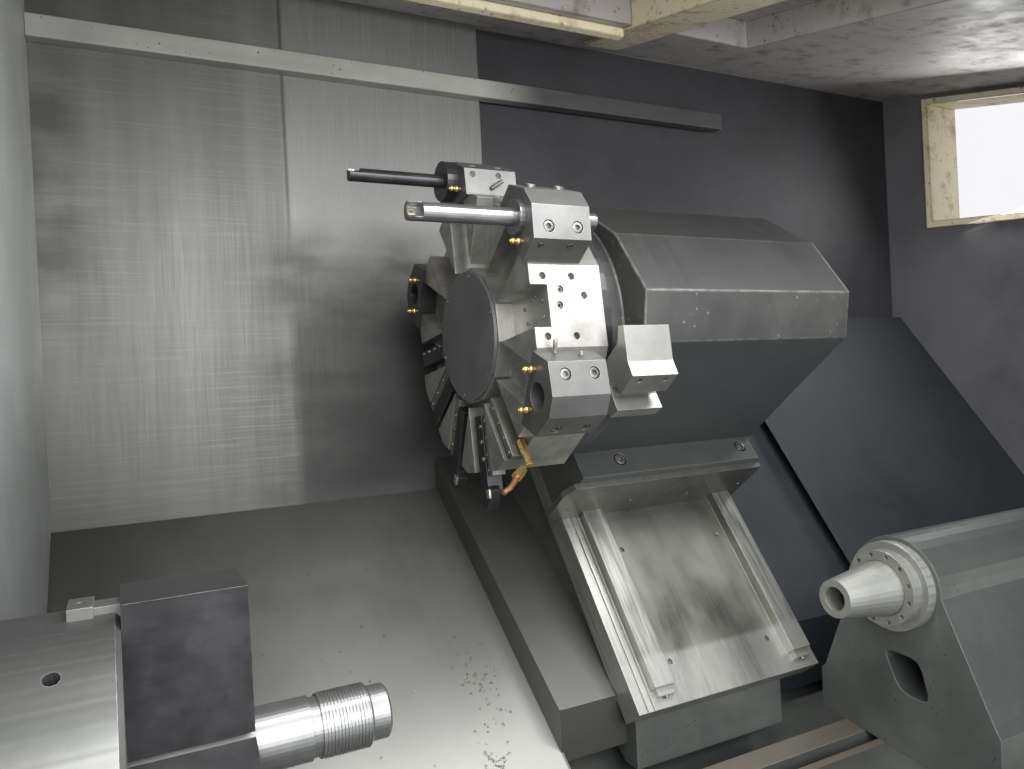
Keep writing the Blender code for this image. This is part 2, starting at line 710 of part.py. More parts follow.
def build_walls(make):
    """The sheet walls that stand round the working space."""
    left_x = LEFT_WALL_X - CABINET_WALL
    headstock_wall = make.section(
        "headstock_wall", wall_outline(BACK_WALL_Y - FIT_GAP), left_x, LEFT_WALL_X, "brushed_steel"
    )
    make.cut_rod(
        headstock_wall,
        CHUCK_RADIUS + CHUCK_CLEARANCE,
        (left_x - OVERRUN, SPINDLE_Y, SPINDLE_Z),
        (LEFT_WALL_X + OVERRUN, SPINDLE_Y, SPINDLE_Z),
        WORLD,
        BIG_ROUND,
    )
    rear = BACK_WALL_Y + OVERRUN
    step = COVER_FRONT_Y + OVERRUN / 2
    front = WAY_FRONT_Y - OVERRUN
    below = [
        (rear, cover_height(rear) + OVERRUN),
        (step, cover_height(step) + OVERRUN),
        (step, way_height(step) + OVERRUN),
        (front, way_height(front) + OVERRUN),
        (BED_FRONT_Y - OVERRUN, BED_FRONT_Z - OVERRUN),
        (rear, BED_FRONT_Z - OVERRUN),
    ]
    under = make.section(make.cutter_name(), below, left_x - OVERRUN, LEFT_WALL_X + OVERRUN, None)
    make.boolean(headstock_wall, under, "DIFFERENCE")

    make.block(
        "back_wall_panel",
        (left_x, BACK_WALL_Y, BACK_WALL_LOW_Z),
        (RECESS_START_X - FIT_GAP, BACK_WALL_Y + CABINET_WALL, CEILING_Z - FIT_GAP),
        "brushed_steel",
    )
    make.block(
        "back_wall_recess",
        (RECESS_START_X, BACK_WALL_Y + RECESS_DEPTH, BACK_WALL_LOW_Z),
        (RIGHT_WALL_X - FIT_GAP, BACK_WALL_Y + RECESS_DEPTH + CABINET_WALL, CEILING_Z - FIT_GAP),
        "dark_sheet",
    )
    ledge = make.block(
        "back_wall_ledge",
        (LEFT_WALL_X + FIT_GAP, BACK_WALL_Y - LEDGE_DEPTH - FIT_GAP, LEDGE_LOW_Z),
        (LEDGE_END_X, BACK_WALL_Y - FIT_GAP, LEDGE_LOW_Z + LEDGE_HEIGHT),
        "brushed_steel",
    )
    make.soften(ledge, EDGE_BREAK)

    right_wall = make.section(
        "right_wall",
        wall_outline(BACK_WALL_Y + RECESS_DEPTH + CABINET_WALL),
        RIGHT_WALL_X,
        RIGHT_WALL_X + CABINET_WALL,
        "dark_sheet",
    )
    opening = make.section(
        make.cutter_name(),
        window_outline(0),
        RIGHT_WALL_X - OVERRUN,
        RIGHT_WALL_X + CABINET_WALL + OVERRUN,
        None,
    )
    make.boolean(right_wall, opening, "DIFFERENCE")


def window_outline(inset):
    """The four-sided outline of the side window, its sill and head following the ceiling."""
    front = WINDOW_FRONT_Y + inset
    rear = WINDOW_REAR_Y - inset
    head = WINDOW_HEAD_ROOM + inset
    return [
        (rear, WINDOW_REAR_LOW_Z + inset),
        (rear, ceiling_height(rear) - head),
        (front, ceiling_height(front) - head),
        (front, WINDOW_FRONT_LOW_Z + inset),
    ]


def build_side_window(make):
    """The cream frame and the pane of the window in the right wall."""
    outer_x = HALF_LENGTH - FIT_GAP
    inner_x = RIGHT_WALL_X - WINDOW_FRAME_DEPTH
    frame = make.section("side_window_frame", window_outline(FIT_GAP), inner_x, outer_x, "cream_paint")
    hollow = make.section(
        make.cutter_name(), window_outline(WINDOW_FRAME_WIDTH), inner_x - OVERRUN, outer_x + OVERRUN, None
    )
    make.boolean(frame, hollow, "DIFFERENCE")
    make.section(
        "side_window_pane",
        window_outline(WINDOW_FRAME_WIDTH + FIT_GAP),
        inner_x + PANE_SETBACK,
        inner_x + PANE_SETBACK + PANE_THICKNESS,
        "window_glass",
    )


def ceiling_slab(rear, front, low, high):
    """The outline of a slab along the sloped ceiling, its ends upright. Levels are upright distances."""
    return [
        (y, ceiling_height(y) + level)
        for y, level in ((rear, high), (front, high), (front, low), (rear, low))
    ]


def build_roof(make):
    """The sloped roof with its raised hatch, and the rail and beam that hang below it."""
    front = FRONT_Y + CABINET_WALL + FIT_GAP
    rear = BACK_WALL_Y + RECESS_DEPTH + CABINET_WALL
    sheet = ROOF_SHEET
    roof = make.section(
        "roof_panel",
        ceiling_slab(rear, front, 0, sheet),
        LEFT_WALL_X - CABINET_WALL,
        RIGHT_WALL_X + CABINET_WALL,
        "dark_sheet",
    )
    tray = make.section(
        make.cutter_name(),
        ceiling_slab(HATCH_REAR_Y + sheet, HATCH_FRONT_Y - sheet, sheet / 2, HATCH_RISE + sheet),
        HATCH_LEFT_X - sheet,
        HATCH_RIGHT_X + sheet,
        None,
    )
    make.boolean(roof, tray, "UNION")
    hole = make.section(
        make.cutter_name(),
        ceiling_slab(HATCH_REAR_Y, HATCH_FRONT_Y, -OVERRUN, HATCH_RISE),
        HATCH_LEFT_X,
        HATCH_RIGHT_X,
        None,
    )
    make.boolean(roof, hole, "DIFFERENCE")

    rail_top = ceiling_height(ROOF_RAIL_Y) - FIT_GAP
    rail = make.block(
        "roof_rail",
        (HATCH_LEFT_X, ROOF_RAIL_Y, rail_top - ROOF_RAIL_SIZE),
        (ROOF_BEAM_LEFT_X - FIT_GAP, ROOF_RAIL_Y + ROOF_RAIL_SIZE, rail_top),
        "cream_paint",
    )
    make.soften(rail, EDGE_BREAK)
    step_y = HATCH_REAR_Y - RUN_GAP
    end_y = HATCH_FRONT_Y + RUN_GAP
    beam_outline = [
        (y, ceiling_height(y) + rise)
        for y, rise in (
            (ROOF_BEAM_REAR_Y, -ROOF_BEAM_DROP),
            (ROOF_BEAM_REAR_Y, -FIT_GAP),
            (step_y, -FIT_GAP),
            (step_y, ROOF_BEAM_HEIGHT),
            (end_y, ROOF_BEAM_HEIGHT),
            (end_y, -ROOF_BEAM_DROP),
        )
    ]
    beam = make.section("roof_box_beam", beam_outline, ROOF_BEAM_LEFT_X, ROOF_BEAM_RIGHT_X, "cream_paint")
    make.soften(beam, EDGE_BREAK)


def build_fixed_covers(make):
    """The sheet under the left cover, the fixed right cover and the chip apron in front."""
    make.section(
        "fixed_left_cover",
        cover_slab(
            BACK_WALL_Y - COVER_BACK_GAP,
            COVER_FRONT_Y,
            -UNDER_SHEET_DROP - COVER_SHEET,
            -UNDER_SHEET_DROP,
        ),
        LEFT_WALL_X + FIT_GAP,
        UNDER_SHEET_END_X,
        "brushed_steel",
    )
    make.section(
        "fixed_right_cover",
        right_cover_outline(RIGHT_HIGH_DROP, RIGHT_COVER_UP),
        RIGHT_STEP_X,
        RIGHT_WALL_X - FIT_GAP,
        "dark_sheet",
    )
    apron = [
        (WAY_FRONT_Y - FIT_GAP, BED_FRONT_Z + COVER_SHEET),
        (FRONT_Y + CABINET_WALL + FIT_GAP, BED_FRONT_Z - BED_BOTTOM_Z + COVER_SHEET),
        (FRONT_Y + CABINET_WALL + FIT_GAP, BED_FRONT_Z - BED_BOTTOM_Z),
        (WAY_FRONT_Y - FIT_GAP, BED_FRONT_Z),
    ]
    make.section(
        "front_chip_apron",
        apron,
        LEFT_WALL_X + FIT_GAP,
        RIGHT_WALL_X - FIT_GAP,
        "brushed_steel",
    )


def right_cover_outline(drop, run_up):
    """The bent sheet of a right cover: a slanted top and a skirt at its lower end."""
    up = slide_point(0, -run_up, -drop)
    down = slide_point(0, RIGHT_COVER_DOWN, -drop)
    under_up = slide_point(0, -run_up, -drop - COVER_SHEET)
    under_down = slide_point(0, RIGHT_COVER_DOWN - COVER_SHEET, -drop - COVER_SHEET)
    return [
        (up.y, up.z),
        (down.y, down.z),
        (down.y, down.z - RIGHT_SKIRT),
        (down.y + COVER_SHEET, down.z - RIGHT_SKIRT),
        (down.y + COVER_SHEET, under_down.z),
        (under_up.y, under_up.z),
    ]


def build_cabinets(make):
    """The painted enclosure: two end cabinets, the rear cover and the front frame."""
    low_z = BED_BOTTOM_Z
    left = make.block(
        "headstock_cabinet",
        (-HALF_LENGTH, FRONT_Y, low_z),
        (LEFT_WALL_X - CABINET_WALL - FIT_GAP, BED_BACK_Y + CABINET_WALL, MACHINE_HEIGHT),
        "cabinet_paint",
    )
    make.soften(left, CABINET_CORNER)
    make.cut_block(
        left,
        (-HALF_LENGTH + CABINET_WALL, FRONT_Y + CABINET_WALL, low_z - OVERRUN),
        (LEFT_WALL_X, BED_BACK_Y + FIT_GAP, MACHINE_HEIGHT - CABINET_WALL),
    )
    right = make.block(
        "tailstock_cabinet",
        (RIGHT_WALL_X + CABINET_WALL + FIT_GAP, FRONT_Y, low_z),
        (HALF_LENGTH, BED_BACK_Y + CABINET_WALL, MACHINE_HEIGHT),
        "cabinet_paint",
    )
    make.soften(right, CABINET_CORNER)
    make.cut_block(
        right,
        (RIGHT_WALL_X, FRONT_Y + CABINET_WALL, low_z - OVERRUN),
        (HALF_LENGTH - CABINET_WALL, BED_BACK_Y, MACHINE_HEIGHT - CABINET_WALL),
    )
    opening = make.section(
        make.cutter_name(), window_outline(0), RIGHT_WALL_X + OVERRUN, HALF_LENGTH + OVERRUN, None
    )
    make.boolean(right, opening, "DIFFERENCE")
    rear = make.block(
        "rear_cover",
        (-HALF_LENGTH + CABINET_CORNER, BED_BACK_Y + CABINET_WALL + FIT_GAP, low_z),
        (HALF_LENGTH - CABINET_CORNER, HALF_DEPTH, MACHINE_HEIGHT - CABINET_CORNER),
        "cabinet_paint",
    )
    make.soften(rear, CABINET_CORNER)
    make.cut_block(
        rear,
        (-HALF_LENGTH + CABINET_CORNER + CABINET_WALL, BED_BACK_Y + CABINET_WALL * 2, low_z - OVERRUN),
        (
            HALF_LENGTH - CABINET_CORNER - CABINET_WALL,
            HALF_DEPTH - CABINET_WALL,
            MACHINE_HEIGHT - CABINET_CORNER - CABINET_WALL,
        ),
    )
    front = make.block(
        "front_frame",
        (LEFT_WALL_X - CABINET_WALL, FRONT_Y, low_z),
        (RIGHT_WALL_X + CABINET_WALL, FRONT_Y + CABINET_WALL, ceiling_height(FRONT_Y) + ROOF_SHEET),
        "cabinet_paint",
    )
    make.cut_block(
        front,
        (DOOR_MIDDLE_X - DOOR_WIDTH + RUN_GAP, FRONT_Y - OVERRUN, OPENING_LOW_Z),
        (DOOR_MIDDLE_X + DOOR_WIDTH - RUN_GAP, FRONT_Y + CABINET_WALL + OVERRUN, OPENING_HIGH_Z),
    )


def build_pendant(make):
    """The operator's pendant, hung from the front of the machine."""
    rear = FRONT_Y - DOOR_THICKNESS - PENDANT_GAP
    front = -HALF_DEPTH
    pendant = make.block(
        "operator_pendant",
        (PENDANT_X - PENDANT_HALF_WIDTH, front, PENDANT_LOW_Z),
        (PENDANT_X + PENDANT_HALF_WIDTH, rear, PENDANT_HIGH_Z),
        "frame_paint",
    )
    make.soften(pendant, PENDANT_EDGE)
    half = PENDANT_ARM_WIDTH / 2
    arm_top = DOOR_HIGH_Z + PENDANT_ARM_WIDTH * 2
    make.join_block(
        pendant,
        (PENDANT_X - half, front + PENDANT_ARM_INSET, PENDANT_HIGH_Z - OVERRUN),
        (PENDANT_X + half, rear - EDGE_BREAK, arm_top),
    )
    make.join_block(
        pendant,
        (PENDANT_X - half, front + PENDANT_ARM_INSET, DOOR_HIGH_Z + PENDANT_ARM_WIDTH),
        (PENDANT_X + half, FRONT_Y - FIT_GAP, arm_top),
    )


def build_door(make, side, name):
    """One of the two sliding doors, open, with its window. Side is -1 on the left, 1 on the right."""
    shut_edge = DOOR_MIDDLE_X + side * DOOR_WIDTH
    ends = sorted((shut_edge, shut_edge + side * DOOR_WIDTH))
    rear = FRONT_Y - DOOR_GAP
    front = FRONT_Y - DOOR_THICKNESS
    door = make.block(
        name, (ends[0], front, DOOR_LOW_Z), (ends[1], rear, DOOR_HIGH_Z), "cabinet_paint"
    )
    make.soften(door, EDGE_BREAK * 2)
    make.cut_block(
        door,
        (ends[0] + DOOR_WINDOW_SIDE, front - OVERRUN, DOOR_WINDOW_LOW_Z),
        (ends[1] - DOOR_WINDOW_SIDE, rear + OVERRUN, DOOR_WINDOW_HIGH_Z),
    )
    handle_x = shut_edge + side * HANDLE_INSET
    for z in (HANDLE_LOW_Z, HANDLE_HIGH_Z):
        make.join_rod(
            door, HANDLE_POST_RADIUS, (handle_x, rear - OVERRUN, z), (handle_x, front - HANDLE_REACH, z)
        )
    grip_low = HANDLE_LOW_Z - HANDLE_REACH
    grip_high = HANDLE_HIGH_Z + HANDLE_REACH
    make.join_rod(
        door,
        HANDLE_RADIUS,
        (handle_x, front - HANDLE_REACH, grip_low),
        (handle_x, front - HANDLE_REACH, grip_high),
    )
    pane_middle = (front + rear) / 2
    inset = DOOR_WINDOW_SIDE + FIT_GAP
    pane = make.block(
        name + "_window",
        (ends[0] + inset, pane_middle - PANE_THICKNESS / 2, DOOR_WINDOW_LOW_Z + FIT_GAP),
        (ends[1] - inset, pane_middle + PANE_THICKNESS / 2, DOOR_WINDOW_HIGH_Z - FIT_GAP),
        "window_glass",
    )
    axis = Matrix.Translation((shut_edge, pane_middle, DOOR_HIGH_Z))
    make.carry(name + "_slide_axis", axis, [door, pane])


def build_headstock(make):
    """The headstock casting on the bed, bored for the spindle."""
    outline = [
        (HEAD_REAR_Y, way_height(HEAD_REAR_Y) + FIT_GAP),
        (HEAD_REAR_Y, SPINDLE_Z + CHUCK_RADIUS),
        (SPINDLE_Y + SPINDLE_FLANGE_RADIUS, HEAD_TOP_Z),
        (SPINDLE_Y - SPINDLE_FLANGE_RADIUS, HEAD_TOP_Z),
        (HEAD_FRONT_Y, SPINDLE_Z + CHUCK_RADIUS),
        (HEAD_FRONT_Y, HEAD_WAIST_Z),
        (WAY_FRONT_Y + OVERRUN, way_height(WAY_FRONT_Y + OVERRUN) + FIT_GAP),
    ]
    chuck_back = CHUCK_FACE_X - CHUCK_LENGTH
    right = chuck_back - SPINDLE_FLANGE_LENGTH - RUN_GAP
    left = SPINDLE_END_X + PULLEY_LENGTH + RUN_GAP * 2
    casting = make.section("headstock_casting", outline, left, right, "cast_green")
    make.cut_rod(
        casting,
        SPINDLE_RADIUS + BORE_CLEARANCE,
        (left - OVERRUN, SPINDLE_Y, SPINDLE_Z),
        (right + OVERRUN, SPINDLE_Y, SPINDLE_Z),
        WORLD,
        MIDDLE_ROUND,
    )


def build_spindle(make):
    """The spindle with its pulley, the chuck, its jaws and the shaft that they hold."""
    chuck_back = CHUCK_FACE_X - CHUCK_LENGTH
    flange_back = chuck_back - FIT_GAP - SPINDLE_FLANGE_LENGTH
    pulley_right = SPINDLE_END_X + PULLEY_LENGTH
    round_shrink = math.cos(math.pi / MIDDLE_ROUND)
    shaft_radius = SPINDLE_RADIUS * round_shrink
    nose = make.turned(
        "spindle_shaft",
        [
            (chuck_back - FIT_GAP, 0),
            (chuck_back - FIT_GAP, SPINDLE_FLANGE_RADIUS),
            (flange_back, SPINDLE_FLANGE_RADIUS),
            (flange_back, shaft_radius),
            (pulley_right, shaft_radius),
            (pulley_right, PULLEY_RADIUS),
            (SPINDLE_END_X, PULLEY_RADIUS),
            (SPINDLE_END_X, 0),
        ],
        "turned_steel",
        SPINDLE,
    )
    chuck = make.turned(
        "chuck_body",
        [
            (CHUCK_FACE_X, CHUCK_BORE_RADIUS),
            (CHUCK_FACE_X, CHUCK_RADIUS - CHUCK_EDGE),
            (CHUCK_FACE_X - CHUCK_EDGE, CHUCK_RADIUS),
            (chuck_back + CHUCK_EDGE, CHUCK_RADIUS),
            (chuck_back, CHUCK_RADIUS - CHUCK_EDGE),
            (chuck_back, CHUCK_BORE_RADIUS),
        ],
        "turned_steel",
        SPINDLE,
        BIG_ROUND,
    )
    rim_turn = SPINDLE @ Matrix.Rotation(math.radians(RIM_HOLE_ANGLE - 90), 4, "X")
    rim_x = CHUCK_FACE_X - RIM_HOLE_BACK
    make.cut_rod(
        chuck,
        RIM_HOLE_RADIUS,
        (rim_x, 0, CHUCK_RADIUS - RIM_HOLE_DEPTH),
        (rim_x, 0, CHUCK_RADIUS + OVERRUN),
        rim_turn,
        TINY_ROUND,
    )
    shaft_steps = [
        (SHAFT_END_X, 0),
        (SHAFT_END_X, SHAFT_NOSE_RADIUS - SHAFT_CHAMFER),
        (SHAFT_END_X - SHAFT_CHAMFER, SHAFT_NOSE_RADIUS),
        (SHAFT_END_X - SHAFT_NOSE_LENGTH, SHAFT_NOSE_RADIUS),
        (SHAFT_END_X - SHAFT_NOSE_LENGTH, SHAFT_RADIUS - SHAFT_CHAMFER),
        (SHAFT_END_X - SHAFT_NOSE_LENGTH - SHAFT_CHAMFER, SHAFT_RADIUS),
    ]
    thread_start = SHAFT_END_X - SHAFT_NOSE_LENGTH - SHAFT_THREAD_LENGTH
    shaft_steps += [
        (thread_start, SHAFT_RADIUS),
        (thread_start, SHAFT_NECK_RADIUS),
        (thread_start - SHAFT_NECK_LENGTH, SHAFT_NECK_RADIUS),
        (thread_start - SHAFT_NECK_LENGTH, SHAFT_RADIUS),
        (chuck_back + CHUCK_BORE_RADIUS, SHAFT_RADIUS),
        (chuck_back + CHUCK_BORE_RADIUS, 0),
    ]
    shaft = make.turned("workpiece_shaft", shaft_steps, "turned_steel", SPINDLE, BIG_ROUND)
    spindle_axis = make.carry("spindle_axis", SPINDLE, [nose, chuck, shaft])

    slot_half = MASTER_WIDTH / 2 + FIT_GAP
    slot_back = CHUCK_FACE_X - MASTER_LENGTH - FIT_GAP
    for index in range(JAW_COUNT):
        angle = JAW_FIRST_ANGLE - 90 + index * 360 / JAW_COUNT
        jaw_frame = SPINDLE @ Matrix.Rotation(math.radians(angle), 4, "X")
        nut_half = NUT_WIDTH / 2
        nut_right = CHUCK_FACE_X - MASTER_LENGTH + NUT_LENGTH
        make.cut_block(
            chuck,
            (slot_back + NUT_LENGTH / 2, -slot_half, CHUCK_BORE_RADIUS - OVERRUN),
            (CHUCK_FACE_X + OVERRUN, slot_half, CHUCK_RADIUS + OVERRUN),
            jaw_frame,
        )
        make.cut_block(
            chuck,
            (slot_back, -nut_half - FIT_GAP, CHUCK_BORE_RADIUS - OVERRUN),
            (nut_right + FIT_GAP, nut_half + FIT_GAP, CHUCK_RADIUS + OVERRUN),
            jaw_frame,
        )
        number = index + 1
        master = make.block(
            f"master_jaw_{number}",
            (CHUCK_FACE_X - MASTER_LENGTH, -MASTER_WIDTH / 2, MASTER_INNER_RADIUS),
            (CHUCK_FACE_X, MASTER_WIDTH / 2, MASTER_OUTER_RADIUS),
            "turned_steel",
            jaw_frame,
        )
        make.join_block(
            master,
            (CHUCK_FACE_X - MASTER_LENGTH, -nut_half, MASTER_INNER_RADIUS),
            (nut_right, nut_half, NUT_OUTER_RADIUS),
            jaw_frame,
        )
        hole_x = nut_right - NUT_LENGTH / 2
        make.cut_rod(
            master,
            NUT_HOLE_RADIUS,
            (hole_x, 0, NUT_OUTER_RADIUS - NUT_HOLE_RADIUS * 3),
            (hole_x, 0, NUT_OUTER_RADIUS + OVERRUN),
            jaw_frame,
            TINY_ROUND,
        )
        jaw_low = (CHUCK_FACE_X + FIT_GAP, -JAW_WIDTH / 2, SHAFT_RADIUS * math.cos(math.pi / 6))
        jaw_high = (CHUCK_FACE_X + JAW_LENGTH, JAW_WIDTH / 2, JAW_OUTER_RADIUS)
        soft = make.block(f"soft_jaw_{number}", jaw_low, jaw_high, "black_oxide", jaw_frame)
        make.cut_rod(
            soft,
            SHAFT_RADIUS + FIT_GAP,
            (CHUCK_FACE_X - OVERRUN, SPINDLE_Y, SPINDLE_Z),
            (CHUCK_FACE_X + JAW_LENGTH + OVERRUN, SPINDLE_Y, SPINDLE_Z),
            WORLD,
            BIG_ROUND,
        )
        trim_wedge(make, soft, jaw_frame)
        axis = make.carry(f"jaw_{number}_slide_axis", jaw_frame, [master, soft])
        axis.parent = spindle_axis
        axis.matrix_parent_inverse = SPINDLE.inverted()


def trim_wedge(make, soft, jaw_frame):
    """Bevels the inner end of a jaw on both sides, so that the jaws meet round the shaft."""
    slope = math.radians(60)
    gap = FIT_GAP * 4
    far = JAW_OUTER_RADIUS
    for side in (-1, 1):
        outline = [
            (side * gap / math.cos(slope) * -1, 0),
            (side * far * math.sin(slope) - side * gap / math.cos(slope), far * math.cos(slope)),
            (side * far * 2, 0),
            (side * far, -far),
            (side * gap / math.cos(slope) * -1, -far),
        ]
        cutter = make.section(
            make.cutter_name(),
            outline,
            CHUCK_FACE_X - OVERRUN,
            CHUCK_FACE_X + JAW_LENGTH + OVERRUN,
            None,
            jaw_frame,
        )
        make.boolean(soft, cutter, "DIFFERENCE")


def build_saddle(make):
    """The wedge saddle, its slideway plate, and the covers that move with it."""
    gap = FIT_GAP
    rear_top = slide_point(0, -PLATE_UP, -SLIDE_DROP - PLATE_THICKNESS - gap)
    front_top = slide_point(0, PLATE_DOWN - SADDLE_LIP, -SLIDE_DROP - PLATE_THICKNESS - gap)
    lift = (RAIL_HEIGHT + 2 * gap) / math.cos(COVER_SLANT)
    outline = [
        (rear_top.y, rear_top.z),
        (front_top.y, front_top.z),
        (SADDLE_FRONT_Y, slant_height(SADDLE_FRONT_Y, -SLIDE_DROP - PLATE_THICKNESS - gap)),
        (SADDLE_FRONT_Y, SADDLE_FOOT_Z),
        (SADDLE_FOOT_Y, SADDLE_FOOT_Z),
        (SADDLE_FOOT_Y, bed_height(SADDLE_FOOT_Y) + lift),
        (rear_top.y, bed_height(rear_top.y) + lift),
    ]
    saddle = make.section("saddle_casting", outline, SADDLE_LEFT_X, SADDLE_RIGHT_X, "cast_green")

    top = -SLIDE_DROP
    bottom = top - PLATE_THICKNESS
    groove = top - WAY_GROOVE_DEPTH
    first = PLATE_LEFT_X + WAY_GROOVE_FIRST
    second = PLATE_LEFT_X + WAY_GROOVE_SECOND
    left_end = LEFT_STRIP_X + STRIP_WIDTH
    right_end = RIGHT_STRIP_X + STRIP_WIDTH
    plate_outline = [
        (PLATE_LEFT_X, bottom),
        (PLATE_RIGHT_X, bottom),
        (PLATE_RIGHT_X, top),
        (right_end, top),
        (RIGHT_STRIP_X, top),
        (left_end, top),
        (LEFT_STRIP_X, top),
        (second + WAY_GROOVE_WIDTH, top),
        (second + WAY_GROOVE_WIDTH, groove),
        (second, groove),
        (second, top),
        (first + WAY_GROOVE_WIDTH, top),
        (first + WAY_GROOVE_WIDTH, groove),
        (first, groove),
        (first, top),
        (PLATE_LEFT_X, top),
    ]
    slope_frame = SLIDE @ Matrix.Rotation(math.radians(90), 4, "X")
    plate = make.outline("slideway_plate", plate_outline, -PLATE_UP, PLATE_DOWN, "ground_steel", slope_frame)
    for strip_x in (LEFT_STRIP_X, RIGHT_STRIP_X):
        make.join_block(
            plate,
            (strip_x, -STRIP_END, top - OVERRUN),
            (strip_x + STRIP_WIDTH, PLATE_UP, top + STRIP_HEIGHT),
            SLIDE,
        )
        make.join_block(
            plate,
            (strip_x + STOP_INSET, -STRIP_END - STOP_LENGTH, top - OVERRUN),
            (strip_x + STRIP_WIDTH, -STRIP_END + OVERRUN, top + STOP_HEIGHT),
            SLIDE,
        )
    for x, down in PLATE_BOLTS:
        make.cut_rod(
            plate,
            PLATE_BOLT_RADIUS,
            (x, -down, top - PLATE_BOLT_DEPTH),
            (x, -down, top + OVERRUN),
            SLIDE,
            TINY_ROUND,
        )

    cover = build_left_cover(make)
    low_cover = make.section(
        "right_moving_cover",
        right_cover_outline(RIGHT_LOW_DROP, RIGHT_LOW_COVER_UP),
        SADDLE_RIGHT_X + gap,
        RIGHT_LOW_END_X,
        "dark_sheet",
    )
    axis = Matrix.Translation((SADDLE_LEFT_X, SADDLE_FRONT_Y, bed_height(SADDLE_FRONT_Y)))
    make.carry("saddle_slide_axis", axis, [saddle, plate, cover, low_cover])


def build_left_cover(make):
    """The folded sheet left of the saddle: a long flat, then a raised box with a closed front end."""
    rear = BACK_WALL_Y - COVER_BACK_GAP
    wall = COVER_SHEET
    cover = make.section(
        "left_moving_cover",
        cover_slab(rear, COVER_FRONT_Y, -wall, 0),
        LEFT_COVER_START_X,
        BEAM_LEFT_X + wall,
        "brushed_steel",
    )
    low = wall - UNDER_SHEET_DROP
    box = make.section(
        make.cutter_name(), cover_slab(rear, BEAM_FRONT_Y, low, BEAM_HEIGHT), BEAM_LEFT_X, BEAM_RIGHT_X, None
    )
    make.boolean(cover, box, "UNION")
    hollow = make.section(
        make.cutter_name(),
        cover_slab(rear - wall, BEAM_FRONT_Y + wall, low - OVERRUN, BEAM_HEIGHT - wall),
        BEAM_LEFT_X + wall,
        BEAM_RIGHT_X - wall,
        None,
    )
    make.boolean(cover, hollow, "DIFFERENCE")
    under_plate = -SLIDE_DROP - PLATE_THICKNESS - RUN_GAP
    make.cut_block(
        cover,
        (PLATE_LEFT_X - RUN_GAP, -PLATE_DOWN - OVERRUN, under_plate),
        (BEAM_RIGHT_X + OVERRUN, 0, 0),
        SLIDE,
    )
    return cover


def build_cross_slide(make):
    """The cross slide with its wiper, the turret housing, its ring and the coolant bracket."""
    low = -SLIDE_DROP + RUN_GAP / 2
    over = -SLIDE_DROP + STRIP_HEIGHT + RUN_GAP / 2
    left_low, left_high = LEFT_STRIP_X - RUN_GAP, LEFT_STRIP_X + STRIP_WIDTH + RUN_GAP
    right_low, right_high = RIGHT_STRIP_X - RUN_GAP, RIGHT_STRIP_X + STRIP_WIDTH + RUN_GAP
    outline = [
        (CROSS_LEFT_X, low),
        (left_low, low),
        (left_low, over),
        (left_high, over),
        (left_high, low),
        (right_low, low),
        (right_low, over),
        (right_high, over),
        (right_high, low),
        (CROSS_RIGHT_X, low),
        (CROSS_RIGHT_X, CROSS_TOP - CROSS_CHAMFER),
        (CROSS_RIGHT_X - CROSS_CHAMFER, CROSS_TOP),
        (CROSS_LEFT_X, CROSS_TOP),
    ]
    slope_frame = SLIDE @ Matrix.Rotation(math.radians(90), 4, "X")
    slide = make.outline("cross_slide", outline, -CROSS_HALF_RUN, CROSS_HALF_RUN, "cast_green", slope_frame)
    for x in (FLANGE_BOLT_LEFT_X, FLANGE_BOLT_RIGHT_X):
        make.cut_rod(
            slide,
            FLANGE_BOLT_RADIUS,
            (x, -FLANGE_BOLT_RUN, CROSS_TOP - FLANGE_BOLT_DEPTH),
            (x, -FLANGE_BOLT_RUN, CROSS_TOP + OVERRUN),
            SLIDE,
        )

    wiper_outline = [(WIPER_LEFT_X, low + CROSS_CHAMFER), (CROSS_LEFT_X, low)]
    wiper_outline += outline[1:10]
    wiper_outline += [
        (CROSS_RIGHT_X, WIPER_TOP),
        (CROSS_LEFT_X - CROSS_CHAMFER, WIPER_TOP),
        (WIPER_LEFT_X, WIPER_TOP - CROSS_CHAMFER * 2),
    ]
    wiper_start = CROSS_HALF_RUN + FIT_GAP
    wiper = make.outline(
        "slide_wiper", wiper_outline, wiper_start, wiper_start + WIPER_THICKNESS, "ground_steel", slope_frame
    )

    bottom = CROSS_TOP + FIT_GAP
    housing_outline = [
        (-HOUSING_FRONT, bottom),
        (-HOUSING_FRONT, HOUSING_TOP - HOUSING_CHAMFER),
        (-HOUSING_FRONT + HOUSING_CHAMFER, HOUSING_TOP),
        (0, HOUSING_TOP),
        (HOUSING_SHOULDER, HOUSING_SHOULDER_OUT),
        (HOUSING_REAR, HOUSING_REAR_TOP),
        (HOUSING_REAR, bottom),
    ]
    housing = make.section(
        "turret_housing", housing_outline[::-1], HOUSING_LEFT_X, HOUSING_RIGHT_X, "cast_green", SLIDE
    )
    make.join_rod(
        housing,
        BOSS_RADIUS,
        (BOSS_LEFT_X, 0, 0),
        (HOUSING_LEFT_X + OVERRUN, 0, 0),
        SLIDE,
        BIG_ROUND,
    )
    below_boss = (HOUSING_LEFT_X + OVERRUN * 2, HOUSING_REAR + OVERRUN, bottom)
    low_corner = (BOSS_LEFT_X - OVERRUN, -BOSS_RADIUS - OVERRUN, -BOSS_RADIUS - OVERRUN)
    make.cut_block(housing, low_corner, below_boss, SLIDE)
    ring = make.rod(
        "turret_flange_ring",
        FLANGE_RING_RADIUS,
        (FLANGE_RING_LEFT_X, 0, 0),
        (BOSS_LEFT_X - FIT_GAP, 0, 0),
        "black_oxide",
        SLIDE,
        BIG_ROUND,
    )
    bracket = build_bracket(make)
    carried = [slide, wiper, housing, ring, bracket]
    return make.carry("cross_slide_axis", SLIDE, carried)


